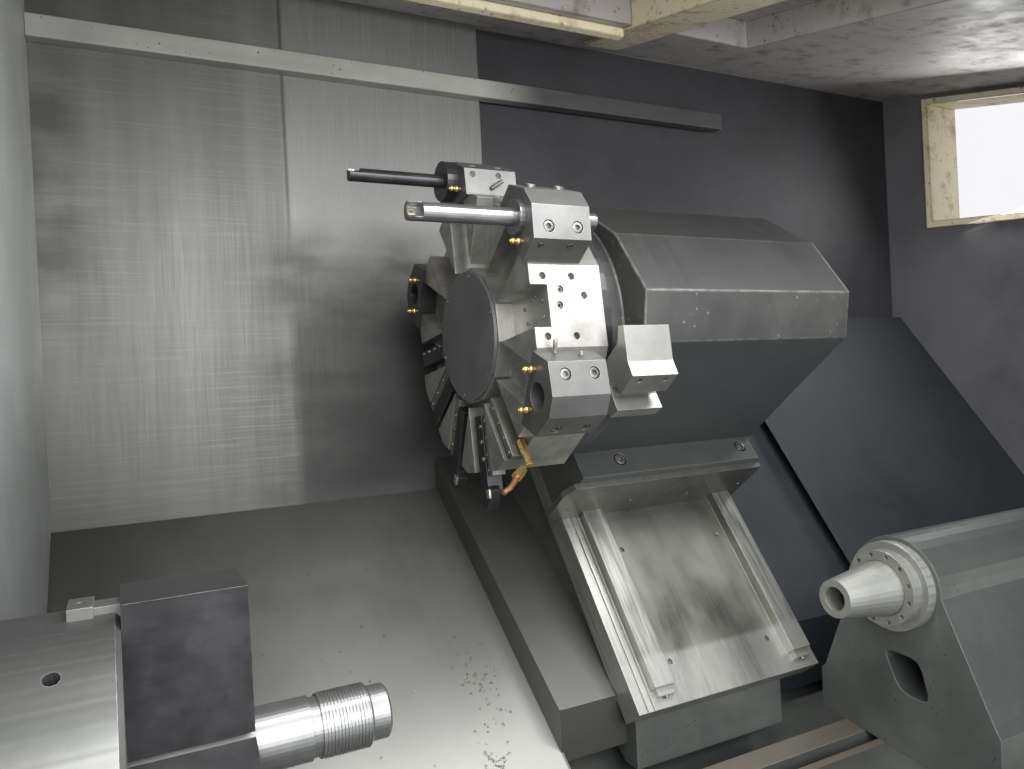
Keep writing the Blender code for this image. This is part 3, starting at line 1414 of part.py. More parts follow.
def build_bracket(make):
    """The block that stands on the chamfer of the turret housing, with two holes and a hollowed lip."""
    outline = [(-down, out) for down, out in BRACKET_OUTLINE]
    bracket = make.section("coolant_bracket", outline, BRACKET_LEFT_X, BRACKET_RIGHT_X, "ground_steel", SLIDE)
    front = -BRACKET_OUTLINE[4][0]
    for x in (BRACKET_LEFT_X + BRACKET_HOLE_INSET, BRACKET_RIGHT_X - BRACKET_HOLE_INSET):
        make.cut_rod(
            bracket,
            BRACKET_HOLE_RADIUS,
            (x, front - OVERRUN, BRACKET_HOLE_OUT),
            (x, front + OVERRUN * 2, BRACKET_HOLE_OUT),
            SLIDE,
            TINY_ROUND,
        )
    return bracket


def build_disc(make):
    """The twelve-sided disc with its slots and bolt holes, and the round cover on its front."""
    corner = DISC_APOTHEM / math.cos(math.pi / STATIONS)
    half = math.degrees(math.pi / STATIONS)
    points = arc((0, 0), corner, half, half + 360 - 360 / STATIONS, STATIONS - 1)
    turn = TURRET @ Matrix.Rotation(math.radians(STATION_FIRST_ANGLE), 4, "X")
    disc = make.section("turret_disc", points, 0, DISC_THICKNESS, "ground_steel", turn)
    for index in range(STATIONS):
        frame = station_frame(index)
        make.cut_block(
            disc,
            (-OVERRUN, -SLOT_WIDTH / 2, SLOT_INNER_RADIUS),
            (SLOT_DEPTH, SLOT_WIDTH / 2, corner + OVERRUN),
            frame,
        )
    plain_holes = [
        (across, along)
        for across in (-FACET_HOLE_ACROSS, FACET_HOLE_ACROSS)
        for along in (FACET_HOLE_FRONT, FACET_HOLE_REAR)
    ]
    drilled = {index: plain_holes for index in BARE_STATIONS}
    drilled[DRILLED_STATION] = DRILLED_HOLES
    for index, holes in drilled.items():
        for across, along in holes:
            make.cut_rod(
                disc,
                FACET_HOLE_RADIUS,
                (along, across, DISC_APOTHEM - FACET_HOLE_DEPTH),
                (along, across, DISC_APOTHEM + OVERRUN),
                station_frame(index),
                TINY_ROUND,
            )
    cover = make.rod(
        "turret_cover",
        COVER_RADIUS,
        (-COVER_THICKNESS - FIT_GAP, 0, 0),
        (-FIT_GAP, 0, 0),
        "dark_sheet",
        TURRET,
        BIG_ROUND,
    )
    return [disc, cover]


def build_holder(make, name, station, front, finish, bore_height=HOLDER_BORE_HEIGHT):
    """A bolted block with a bore, its four corners sloped for the clamp screws."""
    frame = station_frame(station)
    seat = DISC_APOTHEM + FIT_GAP
    outline = [
        (-HOLDER_HALF_WIDTH, seat),
        (HOLDER_HALF_WIDTH, seat),
        (HOLDER_HALF_WIDTH, HOLDER_SHOULDER),
        (HOLDER_TOP_HALF, HOLDER_TOP),
        (-HOLDER_TOP_HALF, HOLDER_TOP),
        (-HOLDER_HALF_WIDTH, HOLDER_SHOULDER),
    ]
    holder = make.section(name, outline, front, front + HOLDER_LENGTH, finish, frame)
    make.cut_rod(
        holder,
        HOLDER_BORE_RADIUS,
        (front - OVERRUN, 0, bore_height),
        (front + HOLDER_LENGTH + OVERRUN, 0, bore_height),
        frame,
        SMALL_ROUND * 3 // 2,
    )
    run = Vector((0, HOLDER_HALF_WIDTH - HOLDER_TOP_HALF, HOLDER_SHOULDER - HOLDER_TOP))
    for side in (-1, 1):
        for share in HOLDER_SCREW_SHARES:
            middle = Vector((front + share * HOLDER_LENGTH, 0, HOLDER_TOP))
            down_slope = run * HOLDER_SCREW_RUN_SHARE
            middle += Vector((0, side * (HOLDER_TOP_HALF + down_slope.y), down_slope.z))
            normal = Vector((0, side * -run.z, run.y)).normalized()
            make.cut_rod(
                holder,
                HOLDER_SCREW_RADIUS,
                middle - normal * HOLDER_SCREW_DEPTH,
                middle + normal * OVERRUN,
                frame,
                TINY_ROUND,
            )
    return holder


def build_bars(make):
    """The two boring bars, each turned in one with its reducing sleeve."""
    sleeve = SLEEVE_RADIUS
    frame = station_frame(HOLDER_STATIONS["upper_bore_holder"])
    bright_axis = frame @ Matrix.Translation((0, 0, HOLDER_BORE_HEIGHT))
    holder_end = HOLDER_FRONT + HOLDER_LENGTH
    bright = make.turned(
        "bright_boring_bar",
        [
            (BRIGHT_BAR_REAR, 0),
            (BRIGHT_BAR_REAR, BRIGHT_BAR_RADIUS),
            (holder_end, BRIGHT_BAR_RADIUS),
            (holder_end, sleeve),
            (HOLDER_FRONT - FIT_GAP, sleeve),
            (HOLDER_FRONT - FIT_GAP, SLEEVE_FLANGE_RADIUS),
            (HOLDER_FRONT - FIT_GAP - SLEEVE_FLANGE_LENGTH, SLEEVE_FLANGE_RADIUS),
            (HOLDER_FRONT - FIT_GAP - SLEEVE_FLANGE_LENGTH, BRIGHT_BAR_RADIUS),
            (BRIGHT_BAR_FRONT, BRIGHT_BAR_RADIUS),
            (BRIGHT_BAR_FRONT, 0),
        ],
        "turned_steel",
        bright_axis,
        SMALL_ROUND * 3 // 2,
    )
    frame = station_frame(REAR_HOLDER_STATION)
    black_axis = frame @ Matrix.Translation((0, 0, REAR_BORE_HEIGHT))
    rear_end = REAR_HOLDER_FRONT + HOLDER_LENGTH
    black = make.turned(
        "black_boring_bar",
        [
            (BLACK_BAR_REAR, 0),
            (BLACK_BAR_REAR, BLACK_BAR_RADIUS),
            (rear_end, BLACK_BAR_RADIUS),
            (rear_end, sleeve),
            (REAR_HOLDER_FRONT - FIT_GAP, sleeve),
            (REAR_HOLDER_FRONT - FIT_GAP, BLACK_FLANGE_RADIUS),
            (REAR_HOLDER_FRONT - FIT_GAP - BLACK_FLANGE_LENGTH, BLACK_FLANGE_RADIUS),
            (REAR_HOLDER_FRONT - FIT_GAP - BLACK_FLANGE_LENGTH, BLACK_BAR_RADIUS),
            (BLACK_BAR_FRONT, BLACK_BAR_RADIUS),
            (BLACK_BAR_FRONT, 0),
        ],
        "black_oxide",
        black_axis,
        SMALL_ROUND * 3 // 2,
    )
    for bar, front, radius, centre in (
        (bright, BRIGHT_BAR_FRONT, BRIGHT_BAR_RADIUS, bright_axis),
        (black, BLACK_BAR_FRONT, BLACK_BAR_RADIUS, black_axis),
    ):
        make.cut_block(
            bar,
            (front - OVERRUN, -radius * 2, radius * BAR_FLAT_SHARES[0]),
            (front + BAR_HEAD_LENGTH, radius * BAR_FLAT_SHARES[1], radius * 2),
            centre,
        )
    return [bright, black]


def build_tools(make):
    """The turning tools and clamps in the disc's slots, and the fitting with its bent copper pipe."""
    made = []
    half = TOOL_SHANK / 2
    for name, station in TOOL_STATIONS.items():
        frame = station_frame(station)
        low = SLOT_DEPTH - FIT_GAP - TOOL_SHANK
        tool = make.block(
            name,
            (low, -half, TOOL_INNER_RADIUS),
            (low + TOOL_SHANK, half, TOOL_OUTER_RADIUS),
            "black_oxide",
            frame,
        )
        head = [
            (-half, TOOL_OUTER_RADIUS - OVERRUN),
            (half, TOOL_OUTER_RADIUS - OVERRUN),
            (half + TOOL_NOSE, TOOL_OUTER_RADIUS),
            (half, TOOL_TIP_RADIUS - TOOL_SHANK / 2),
            (0, TOOL_TIP_RADIUS),
            (-half, TOOL_TIP_RADIUS - TOOL_SHANK / 3),
        ]
        helper = make.section(make.cutter_name(), head, low, low + TOOL_HEAD_HEIGHT, None, frame)
        make.boolean(tool, helper, "UNION")
        made.append(tool)
    for name, station in CLAMP_STATIONS.items():
        frame = station_frame(station)
        low = SLOT_DEPTH - FIT_GAP - CLAMP_HEIGHT
        clamp = make.block(
            name,
            (low, -CLAMP_WIDTH / 2, CLAMP_INNER_RADIUS),
            (low + CLAMP_HEIGHT, CLAMP_WIDTH / 2, CLAMP_OUTER_RADIUS),
            "black_oxide",
            frame,
        )
        make.soften(clamp, EDGE_BREAK)
        made.append(clamp)
    frame = station_frame(FITTING_STATION)
    fitting_x = SLOT_DEPTH - FIT_GAP - PIPE_RADIUS * 2
    fitting = make.rod(
        "coolant_fitting",
        PIPE_RADIUS * 2,
        (fitting_x, 0, FITTING_INNER_RADIUS),
        (fitting_x, 0, FITTING_OUTER_RADIUS),
        "brass",
        frame,
        TINY_ROUND,
    )
    make.join_rod(
        fitting,
        PIPE_RADIUS,
        (fitting_x, 0, PIPE_ROOT_RADIUS),
        (PIPE_TIP_X, 0, PIPE_TIP_RADIUS),
        frame,
        TINY_ROUND,
    )
    made.append(fitting)
    return made


def build_turret(make, cross_axis):
    pieces = build_disc(make)
    for name, station in HOLDER_STATIONS.items():
        finish = "black_oxide" if name == "dark_bore_holder" else "ground_steel"
        pieces.append(build_holder(make, name, station, HOLDER_FRONT, finish))
    pieces.append(
        build_holder(
            make,
            "rear_bore_holder",
            REAR_HOLDER_STATION,
            REAR_HOLDER_FRONT,
            "ground_steel",
            REAR_BORE_HEIGHT,
        )
    )
    pieces += build_bars(make)
    pieces += build_tools(make)
    axis = make.carry("turret_axis", TURRET, pieces)
    axis.parent = cross_axis
    axis.matrix_parent_inverse = SLIDE.inverted()


def build_tailstock(make):
    """The tailstock casting on its sloped foot, the ring and collar in front, and the quill."""
    rear = SPINDLE_Y + TAIL_FOOT_REAR
    front = SPINDLE_Y + TAIL_FOOT_FRONT
    barrel = arc((SPINDLE_Y, SPINDLE_Z), TAIL_BARREL_RADIUS, -5, 185, SMALL_ROUND)
    outline = barrel + [
        (front + TAIL_FOOT_CHAMFER, SPINDLE_Z + TAIL_FOOT_TOP),
        (front, SPINDLE_Z + TAIL_FOOT_TOP - TAIL_FOOT_CHAMFER * 2),
        (front, way_height(front) + FIT_GAP),
        (rear, way_height(rear) + FIT_GAP),
        (rear, SPINDLE_Z + TAIL_FOOT_TOP - TAIL_FOOT_CHAMFER),
        (rear - TAIL_FOOT_CHAMFER, SPINDLE_Z + TAIL_FOOT_TOP),
    ]
    body = make.section("tailstock_casting", outline, TAIL_LEFT_X, TAIL_RIGHT_X, "cast_green")
    radius = TAIL_BARREL_RADIUS
    pocket = [(SPINDLE_Y + a * radius, SPINDLE_Z + b * radius) for a, b in TAIL_POCKET_SHARES]
    cutter = make.section(
        make.cutter_name(),
        rounded(pocket, TAIL_POCKET_ROUND),
        TAIL_LEFT_X - OVERRUN,
        TAIL_LEFT_X + TAIL_POCKET_DEPTH,
        None,
    )
    make.boolean(body, cutter, "DIFFERENCE")
    bore = QUILL_RADIUS + BORE_CLEARANCE
    make.cut_rod(
        body,
        bore,
        (TAIL_LEFT_X - OVERRUN, SPINDLE_Y, SPINDLE_Z),
        (QUILL_END_X + QUILL_TRAVEL, SPINDLE_Y, SPINDLE_Z),
        WORLD,
        MIDDLE_ROUND,
    )
    collar_right = TAIL_LEFT_X - FIT_GAP
    ring_right = collar_right - COLLAR_LENGTH
    ring_left = ring_right - RING_LENGTH
    ring = make.turned(
        "quill_ring",
        [
            (collar_right, bore),
            (collar_right, COLLAR_RADIUS),
            (ring_right, COLLAR_RADIUS),
            (ring_right, RING_RADIUS),
            (ring_left, RING_RADIUS),
            (ring_left, bore),
        ],
        "turned_steel",
        SPINDLE,
    )
    for index in range(RING_SCREWS):
        angle = math.radians((index + 0.5) * 360 / RING_SCREWS)
        y, z = RING_SCREW_CIRCLE * math.cos(angle), RING_SCREW_CIRCLE * math.sin(angle)
        make.cut_rod(
            ring,
            RING_SCREW_RADIUS,
            (ring_left - OVERRUN, y, z),
            (ring_left + RING_SCREW_DEPTH, y, z),
            SPINDLE,
            TINY_ROUND,
        )
    shrink = math.cos(math.pi / MIDDLE_ROUND)
    quill = make.turned(
        "quill",
        [
            (QUILL_END_X, 0),
            (QUILL_END_X, QUILL_RADIUS * shrink),
            (QUILL_CONE_END_X, QUILL_RADIUS * shrink),
            (QUILL_TIP_X, QUILL_CONE_RADIUS),
            (QUILL_TIP_X, QUILL_BORE_RADIUS),
            (QUILL_TIP_X + QUILL_BORE_DEPTH, QUILL_BORE_END_RADIUS),
            (QUILL_TIP_X + QUILL_BORE_DEPTH, 0),
        ],
        "turned_steel",
        SPINDLE,
    )
    tail_axis = make.carry("tailstock_slide_axis", SPINDLE @ Matrix.Translation((TAIL_LEFT_X, 0, 0)), [body, ring])
    quill_frame = SPINDLE @ Matrix.Translation((QUILL_TIP_X, 0, 0))
    axis = make.carry("quill_slide_axis", quill_frame, [quill])
    axis.parent = tail_axis
    axis.matrix_parent_inverse = (SPINDLE @ Matrix.Translation((TAIL_LEFT_X, 0, 0))).inverted()


def shade_pieces(make):
    """Smooth shading on round pieces, with their corners kept sharp."""
    for obj in make.parts.objects:
        if obj.type == "MESH" and obj.data.polygons:
            obj.data.shade_smooth()
            obj.data.set_sharp_from_angle(angle=math.radians(30))


def main():
    clear_scene()
    bpy.context.scene.unit_settings.system = "METRIC"
    bpy.context.scene.unit_settings.scale_length = 1
    make = Builder()
    build_bed(make)
    build_walls(make)
    build_side_window(make)
    build_roof(make)
    build_fixed_covers(make)
    build_cabinets(make)
    build_pendant(make)
    build_door(make, -1, "left_door")
    build_door(make, 1, "right_door")
    build_headstock(make)
    build_spindle(make)
    build_saddle(make)
    cross_axis = build_cross_slide(make)
    build_turret(make, cross_axis)
    build_tailstock(make)
    shade_pieces(make)


main()
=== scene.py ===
"""The looks of a slant-bed turning lathe: its finishes, screws, nozzles, chips, light and camera."""

import json
import logging
import math
import random
from collections.abc import Iterable
from dataclasses import dataclass, replace
from enum import Enum

import bmesh
import bpy
from mathutils import Matrix, Vector

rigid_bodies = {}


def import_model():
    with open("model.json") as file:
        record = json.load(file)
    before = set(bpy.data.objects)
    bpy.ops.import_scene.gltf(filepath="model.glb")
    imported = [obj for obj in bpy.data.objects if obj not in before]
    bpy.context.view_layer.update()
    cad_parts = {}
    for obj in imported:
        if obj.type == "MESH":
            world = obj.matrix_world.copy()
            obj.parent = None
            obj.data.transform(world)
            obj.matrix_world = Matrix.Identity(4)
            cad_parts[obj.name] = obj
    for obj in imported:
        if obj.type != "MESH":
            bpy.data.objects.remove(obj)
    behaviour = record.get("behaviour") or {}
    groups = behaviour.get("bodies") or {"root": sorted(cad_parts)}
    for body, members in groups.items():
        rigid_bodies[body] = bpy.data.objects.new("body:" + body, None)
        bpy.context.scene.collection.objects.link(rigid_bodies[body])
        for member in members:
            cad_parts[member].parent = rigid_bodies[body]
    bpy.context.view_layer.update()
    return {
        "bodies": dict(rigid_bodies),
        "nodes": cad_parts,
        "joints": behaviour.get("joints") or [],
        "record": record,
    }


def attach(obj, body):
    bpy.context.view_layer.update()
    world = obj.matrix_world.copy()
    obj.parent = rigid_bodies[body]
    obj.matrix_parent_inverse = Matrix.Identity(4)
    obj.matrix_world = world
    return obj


LOG = logging.getLogger("lathe")

Socket = bpy.types.NodeSocket
Material = bpy.types.Material
Shape = bmesh.types.BMesh
Colour = tuple[float, float, float]

# Places that the frame's record gives only in words
SPINDLE_Y = -0.326
SPINDLE_Z = 1.10
TURRET_X = -0.1307
TURRET_Y = 0.0838
TURRET_Z = 1.6439
SLIDE_SLANT = math.radians(53.0)
COVER_SLANT = math.radians(36.7)
STATIONS = 12
STATION_FIRST_ANGLE = -127.0

SPINDLE = Matrix.Translation((0, SPINDLE_Y, SPINDLE_Z))
TURRET = Matrix.Translation((TURRET_X, TURRET_Y, TURRET_Z))
SLIDE = Matrix.Translation((0, TURRET_Y, TURRET_Z)) @ Matrix.Rotation(SLIDE_SLANT, 4, "X")
FACE_LEFT = Matrix.Rotation(math.radians(-90), 4, "Y")
FACE_DOWN = Matrix.Rotation(math.radians(90), 4, "X")

EVEN = (1, 1, 1)
UPWARD = (0, 0, 1)
DOWN_THE_SLIDE = (-SLIDE_SLANT, 0, 0)
GRAIN_HEIGHT = 0.0004
# The full share of the painted light and shade that follow a face's direction
PAINTED_FACING_SHARE = 0.85
STRIP_BLEND = 0.002
MERGE_DISTANCE = 1e-6
SMOOTH_LIMIT = math.radians(40)


def station(index: int) -> Matrix:
    """The frame of a turret station: +Z outward from the turret axis, +X towards the tailstock.

    Args:
        index: The station's number, counted from the one that faces the spindle.

    Returns:
        The station's matrix in the machine's frame.
    """
    angle = STATION_FIRST_ANGLE - 90 + index * 360 / STATIONS
    return TURRET @ Matrix.Rotation(math.radians(angle), 4, "X")


class Grain(Enum):
    """The way the tool marks of a finish run."""

    NONE = (1.0, 1.0, 1.0)
    UPRIGHT = (1.0, 1.0, 0.04)
    ALONG = (0.03, 1.0, 1.0)
    SLANT = (1.0, 0.04, 1.0)


class Graph:
    """A material's node tree, with one method for each kind of step."""

    def __init__(self, name: str) -> None:
        """Starts an empty material.

        Args:
            name: The material's name.
        """
        self.material = bpy.data.materials.new(name)
        self.material.use_nodes = True
        self.tree = self.material.node_tree
        self.tree.nodes.clear()
        self.shader = self.node("ShaderNodeBsdfPrincipled")
        self.node("ShaderNodeOutputMaterial", {"Surface": self.shader.outputs["BSDF"]})
        self.place = self.node("ShaderNodeTexCoord").outputs["Object"]

    def link(self, source: Socket, target: Socket) -> None:
        """Joins two sockets."""
        self.tree.links.new(source, target)

    def node(
        self, kind: str, inputs: dict[str | int, object] | None = None, **settings: object
    ) -> bpy.types.Node:
        """Adds a node.

        Args:
            kind: The node's type.
            inputs: What each input takes, a socket or a constant.
            settings: The node's own settings, which are set before its inputs.

        Returns:
            The node.
        """
        made = self.tree.nodes.new(kind)
        for setting, value in settings.items():
            setattr(made, setting, value)
        for name, value in (inputs or {}).items():
            if isinstance(value, Socket):
                self.link(value, made.inputs[name])
            else:
                made.inputs[name].default_value = value
        return made

    def mapped(
        self, scale: Iterable[float], turn: Iterable[float] = (0, 0, 0), centre: Iterable[float] = (0, 0, 0)
    ) -> Socket:
        """Object coordinates that are centred, turned and stretched.

        Args:
            scale: The stretch along each axis.
            turn: The turn about each axis, in radians.
            centre: The point that becomes the pattern's centre.

        Returns:
            The coordinates.
        """
        shift = self.node("ShaderNodeVectorMath", {0: self.place, 1: tuple(centre)}, operation="SUBTRACT")
        turned = self.node("ShaderNodeMapping", {"Vector": shift.outputs[0], "Rotation": tuple(turn)})
        inputs = {"Vector": turned.outputs["Vector"], "Scale": tuple(scale)}
        return self.node("ShaderNodeMapping", inputs).outputs["Vector"]

    def noise(self, coordinates: Socket, scale: float, detail: float = 4.0, rough: float = 0.55) -> Socket:
        """A cloudy pattern between 0 and 1.

        Args:
            coordinates: Where the pattern is read.
            scale: Its fineness.
            detail: How many finer layers it has.
            rough: How strong the finer layers are.

        Returns:
            The pattern.
        """
        inputs = {"Vector": coordinates, "Scale": scale, "Detail": detail, "Roughness": rough}
        return self.node("ShaderNodeTexNoise", inputs).outputs["Fac"]

    def spots(self, coordinates: Socket, scale: float, edge: float, middle: float) -> Socket:
        """Scattered round spots.

        Args:
            coordinates: Where the pattern is read.
            scale: Its fineness.
            edge: The distance from a spot's middle at which it ends.
            middle: The distance within which it is full.

        Returns:
            The pattern, 1 in a spot and 0 outside.
        """
        cells = self.node("ShaderNodeTexVoronoi", {"Vector": coordinates, "Scale": scale})
        return self.ramp(cells.outputs["Distance"], edge, middle)

    def rings(self, centre: Iterable[float], scale: float) -> Socket:
        """Rings round the machine's long axis through a point, as a turning tool leaves them.

        Args:
            centre: The point.
            scale: Their fineness.

        Returns:
            The pattern.
        """
        inputs = {"Scale": scale, "Distortion": 0.4, "Vector": self.mapped(EVEN, centre=centre)}
        node = self.node("ShaderNodeTexWave", inputs, wave_type="RINGS", rings_direction="X")
        return node.outputs["Fac"]

    def ramp(self, value: Socket, low: float, high: float, start: float = 0.0, end: float = 1.0) -> Socket:
        """Stretches a value between two limits onto a new range, held at its ends.

        Args:
            value: The value.
            low: The limit that becomes the start.
            high: The limit that becomes the end.
            start: The result at the low limit.
            end: The result at the high limit.

        Returns:
            The stretched value.
        """
        inputs = {"Value": value, "From Min": low, "From Max": high, "To Min": start, "To Max": end}
        return self.node("ShaderNodeMapRange", inputs).outputs["Result"]

    def sum(self, operation: str, first: Socket, second: Socket | float) -> Socket:
        """One sum on two values, such as ADD or MAXIMUM."""
        return self.node("ShaderNodeMath", {0: first, 1: second}, operation=operation).outputs[0]

    def times(self, first: Socket, *others: Socket | float) -> Socket:
        """The product of some values.

        Args:
            first: The first value.
            others: The other values.

        Returns:
            The product.
        """
        for other in others:
            first = self.sum("MULTIPLY", first, other)
        return first

    def blend(self, first: Socket, share: float, second: Socket) -> Socket:
        """A share of one value with the rest of another."""
        return self.sum("ADD", self.times(first, share), self.times(second, 1.0 - share))

    def mix(self, share: Socket, first: Socket | Colour, second: Socket | Colour) -> Socket:
        """A colour between two others.

        Args:
            share: The share of the second colour.
            first: The first colour.
            second: The second colour.

        Returns:
            The colour.
        """
        first, second = ((*value, 1.0) if isinstance(value, tuple) else value for value in (first, second))
        return self.node("ShaderNodeMix", {0: share, 6: first, 7: second}, data_type="RGBA").outputs[2]

    def part_of(self, axis: str, coordinates: Socket | None = None) -> Socket:
        """One coordinate of a place, in metres."""
        return self.node("ShaderNodeSeparateXYZ", {0: coordinates or self.place}).outputs[axis]

    def surface(self, output: str) -> Socket:
        """A value of the surface, such as its Normal."""
        return self.node("ShaderNodeNewGeometry").outputs[output]

    def dot(self, first: Socket, second: Socket | Vector) -> Socket:
        """How far two directions agree, from -1 to 1."""
        node = self.node("ShaderNodeVectorMath", {0: first, 1: second}, operation="DOT_PRODUCT")
        return node.outputs["Value"]

    def facing(self, direction: Iterable[float]) -> Socket:
        """How far the surface faces a direction, from -1 to 1."""
        return self.dot(self.surface("True Normal"), Vector(direction).normalized())

    def edge(self, radius: float) -> tuple[Socket, Socket]:
        """Softened edges.

        Args:
            radius: The width of the softening, in metres.

        Returns:
            The softened normal, and a value that rises from 0 on flats to 1 on edges.
        """
        soft = self.node("ShaderNodeBevel", {"Radius": radius}, samples=4).outputs["Normal"]
        return soft, self.ramp(self.dot(soft, self.surface("Normal")), 0.998, 0.93)

    def rounded(self, centre: Iterable[float], normal: Socket) -> Socket:
        """Rounds the normal where flat facets stand for a cylinder round the machine's long axis.

        Args:
            centre: A point on the cylinder's axis.
            normal: The normal elsewhere.

        Returns:
            The rounded normal.
        """
        inputs = {0: self.mapped(EVEN, centre=centre), 1: (0.0, 1.0, 1.0)}
        flat = self.node("ShaderNodeVectorMath", inputs, operation="MULTIPLY").outputs["Vector"]
        unit = self.node("ShaderNodeVectorMath", {0: flat}, operation="NORMALIZE").outputs["Vector"]
        spaces = {"vector_type": "NORMAL", "convert_from": "OBJECT", "convert_to": "WORLD"}
        turned = self.node("ShaderNodeVectorTransform", {0: unit}, **spaces).outputs[0]
        on_cylinder = self.ramp(self.dot(self.surface("True Normal"), turned), 0.985, 0.988)
        inputs = {0: on_cylinder, 4: normal, 5: turned}
        return self.node("ShaderNodeMix", inputs, data_type="VECTOR").outputs[1]

    def bump(self, height: Socket, strength: float, distance: float, normal: Socket) -> Socket:
        """A normal disturbed by a height.

        Args:
            height: The height pattern.
            strength: How much of it shows.
            distance: The height of its full range, in metres.
            normal: The normal that is disturbed.

        Returns:
            The disturbed normal.
        """
        inputs = {"Strength": strength, "Distance": distance, "Height": height, "Normal": normal}
        return self.node("ShaderNodeBump", inputs).outputs["Normal"]

    def finished(self, colour: Socket, rough: Socket, normal: Socket | None, metallic: float) -> Material:
        """Joins the last steps to the shader.

        Args:
            colour: The surface's colour.
            rough: Its roughness.
            normal: Its normal, if it is disturbed.
            metallic: How metallic it is.

        Returns:
            The material.
        """
        self.link(colour, self.shader.inputs["Base Color"])
        self.link(rough, self.shader.inputs["Roughness"])
        if normal is not None:
            self.link(normal, self.shader.inputs["Normal"])
        self.shader.inputs["Metallic"].default_value = metallic
        return self.material


@dataclass(frozen=True)
class Finish:
    """One surface finish, from which a material is made.

    Attributes:
        name: The material's name.
        slot: The material slot of the record.
        colour: Its clean colour.
        worn: The colour of its blotches and streaks.
        metallic: How metallic it is.
        rough_low: Its lowest roughness.
        rough_high: Its highest roughness.
        fades: Rows of an axis, the places where a fade starts and ends, its share and its colour.
        painted_light_by_facing: Rows of a direction, the facing at which a painted shade starts and is full,
            and its colour; a paler colour paints light.
        strips: The limits across the machine of the bare strips on faces that look up.
    """

    name: str
    slot: str
    colour: Colour
    worn: Colour
    metallic: float
    rough_low: float
    rough_high: float
    grain: Grain = Grain.NONE
    grain_scale: float = 260.0
    grain_depth: float = 0.15
    cloud_scale: float = 3.0
    edge_colour: Colour = (0.55, 0.55, 0.53)
    edge_share: float = 0.5
    edge_width: float = 0.0012
    specks: float = 0.0
    speck_scale: float = 90.0
    speck_colour: Colour = (0.02, 0.02, 0.02)
    rings_at: tuple[float, float, float] | None = None
    turn: tuple[float, float, float] = (0.0, 0.0, 0.0)
    coat: float = 0.0
    strips: tuple[tuple[float, float], ...] = ()
    strip_colour: Colour = (0.2, 0.2, 0.2)
    fades: tuple[tuple[str, float, float, float, Colour], ...] = ()
    painted_light_by_facing: tuple[tuple[tuple[float, float, float], float, float, Colour], ...] = ()
    rounded: bool = False

    def placed(self, graph: Graph, colour: Socket) -> Socket:
        """Adds the fades along an axis, the painted light and shade that follow a direction, and the bare
        strips.

        Args:
            graph: The material's graph.
            colour: The colour before them.

        Returns:
            The colour after them.
        """
        for axis, start, end, share, shade in self.fades:
            colour = graph.mix(graph.ramp(graph.part_of(axis), start, end, 0.0, share), colour, shade)
        # Painted light and shade, set by which way a face looks
        for direction, start, end, shade in self.painted_light_by_facing:
            share = graph.ramp(graph.facing(direction), start, end, 0.0, PAINTED_FACING_SHARE)
            colour = graph.mix(share, colour, shade)
        for low, high in self.strips:
            depth = graph.part_of("Y")
            rear = graph.ramp(depth, low - STRIP_BLEND, low)
            front = graph.ramp(depth, high + STRIP_BLEND, high)
            upward = graph.ramp(graph.facing(UPWARD), 0.5, 0.8)
            colour = graph.mix(graph.times(rear, front, upward), colour, self.strip_colour)
        return colour

    def material(self) -> Material:
        """Makes the material.

        Returns:
            The material, ready to be set on a piece.
        """
        graph = Graph(self.name)
        plain = graph.mapped(EVEN)
        cloud = graph.noise(plain, self.cloud_scale, 5.0, 0.6)
        streaks = graph.mapped(self.grain.value, self.turn)
        if self.rings_at is None:
            grain = graph.noise(streaks, self.grain_scale, 3.0, 0.6)
        else:
            grain = graph.rings(self.rings_at, self.grain_scale)
        broad = graph.noise(streaks, self.grain_scale * 0.08, 3.0, 0.7)
        colour = graph.mix(graph.ramp(cloud, 0.42, 0.62), self.colour, self.worn)
        colour = graph.mix(graph.ramp(broad, 0.35, 0.75, 0.0, 0.45), colour, self.worn)
        if self.specks > 0:
            patchy = graph.ramp(graph.noise(plain, self.cloud_scale * 4), 0.45, 0.6)
            spots = graph.spots(plain, self.speck_scale, 0.16, 0.10)
            colour = graph.mix(graph.times(spots, patchy, self.specks), colour, self.speck_colour)
        colour = self.placed(graph, colour)
        normal, rim = graph.edge(self.edge_width)
        broken = graph.ramp(graph.noise(plain, 60.0), 0.35, 0.6, 0.25, 1.0)
        colour = graph.mix(graph.times(rim, broken, self.edge_share), colour, self.edge_colour)
        rough = graph.ramp(graph.blend(grain, 0.35, cloud), 0.3, 0.7, self.rough_low, self.rough_high)
        if self.rounded:
            normal = graph.rounded(self.rings_at, normal)
        normal = graph.bump(grain, self.grain_depth, GRAIN_HEIGHT, normal)
        graph.shader.inputs["Coat Weight"].default_value = self.coat
        return graph.finished(colour, rough, normal, self.metallic)


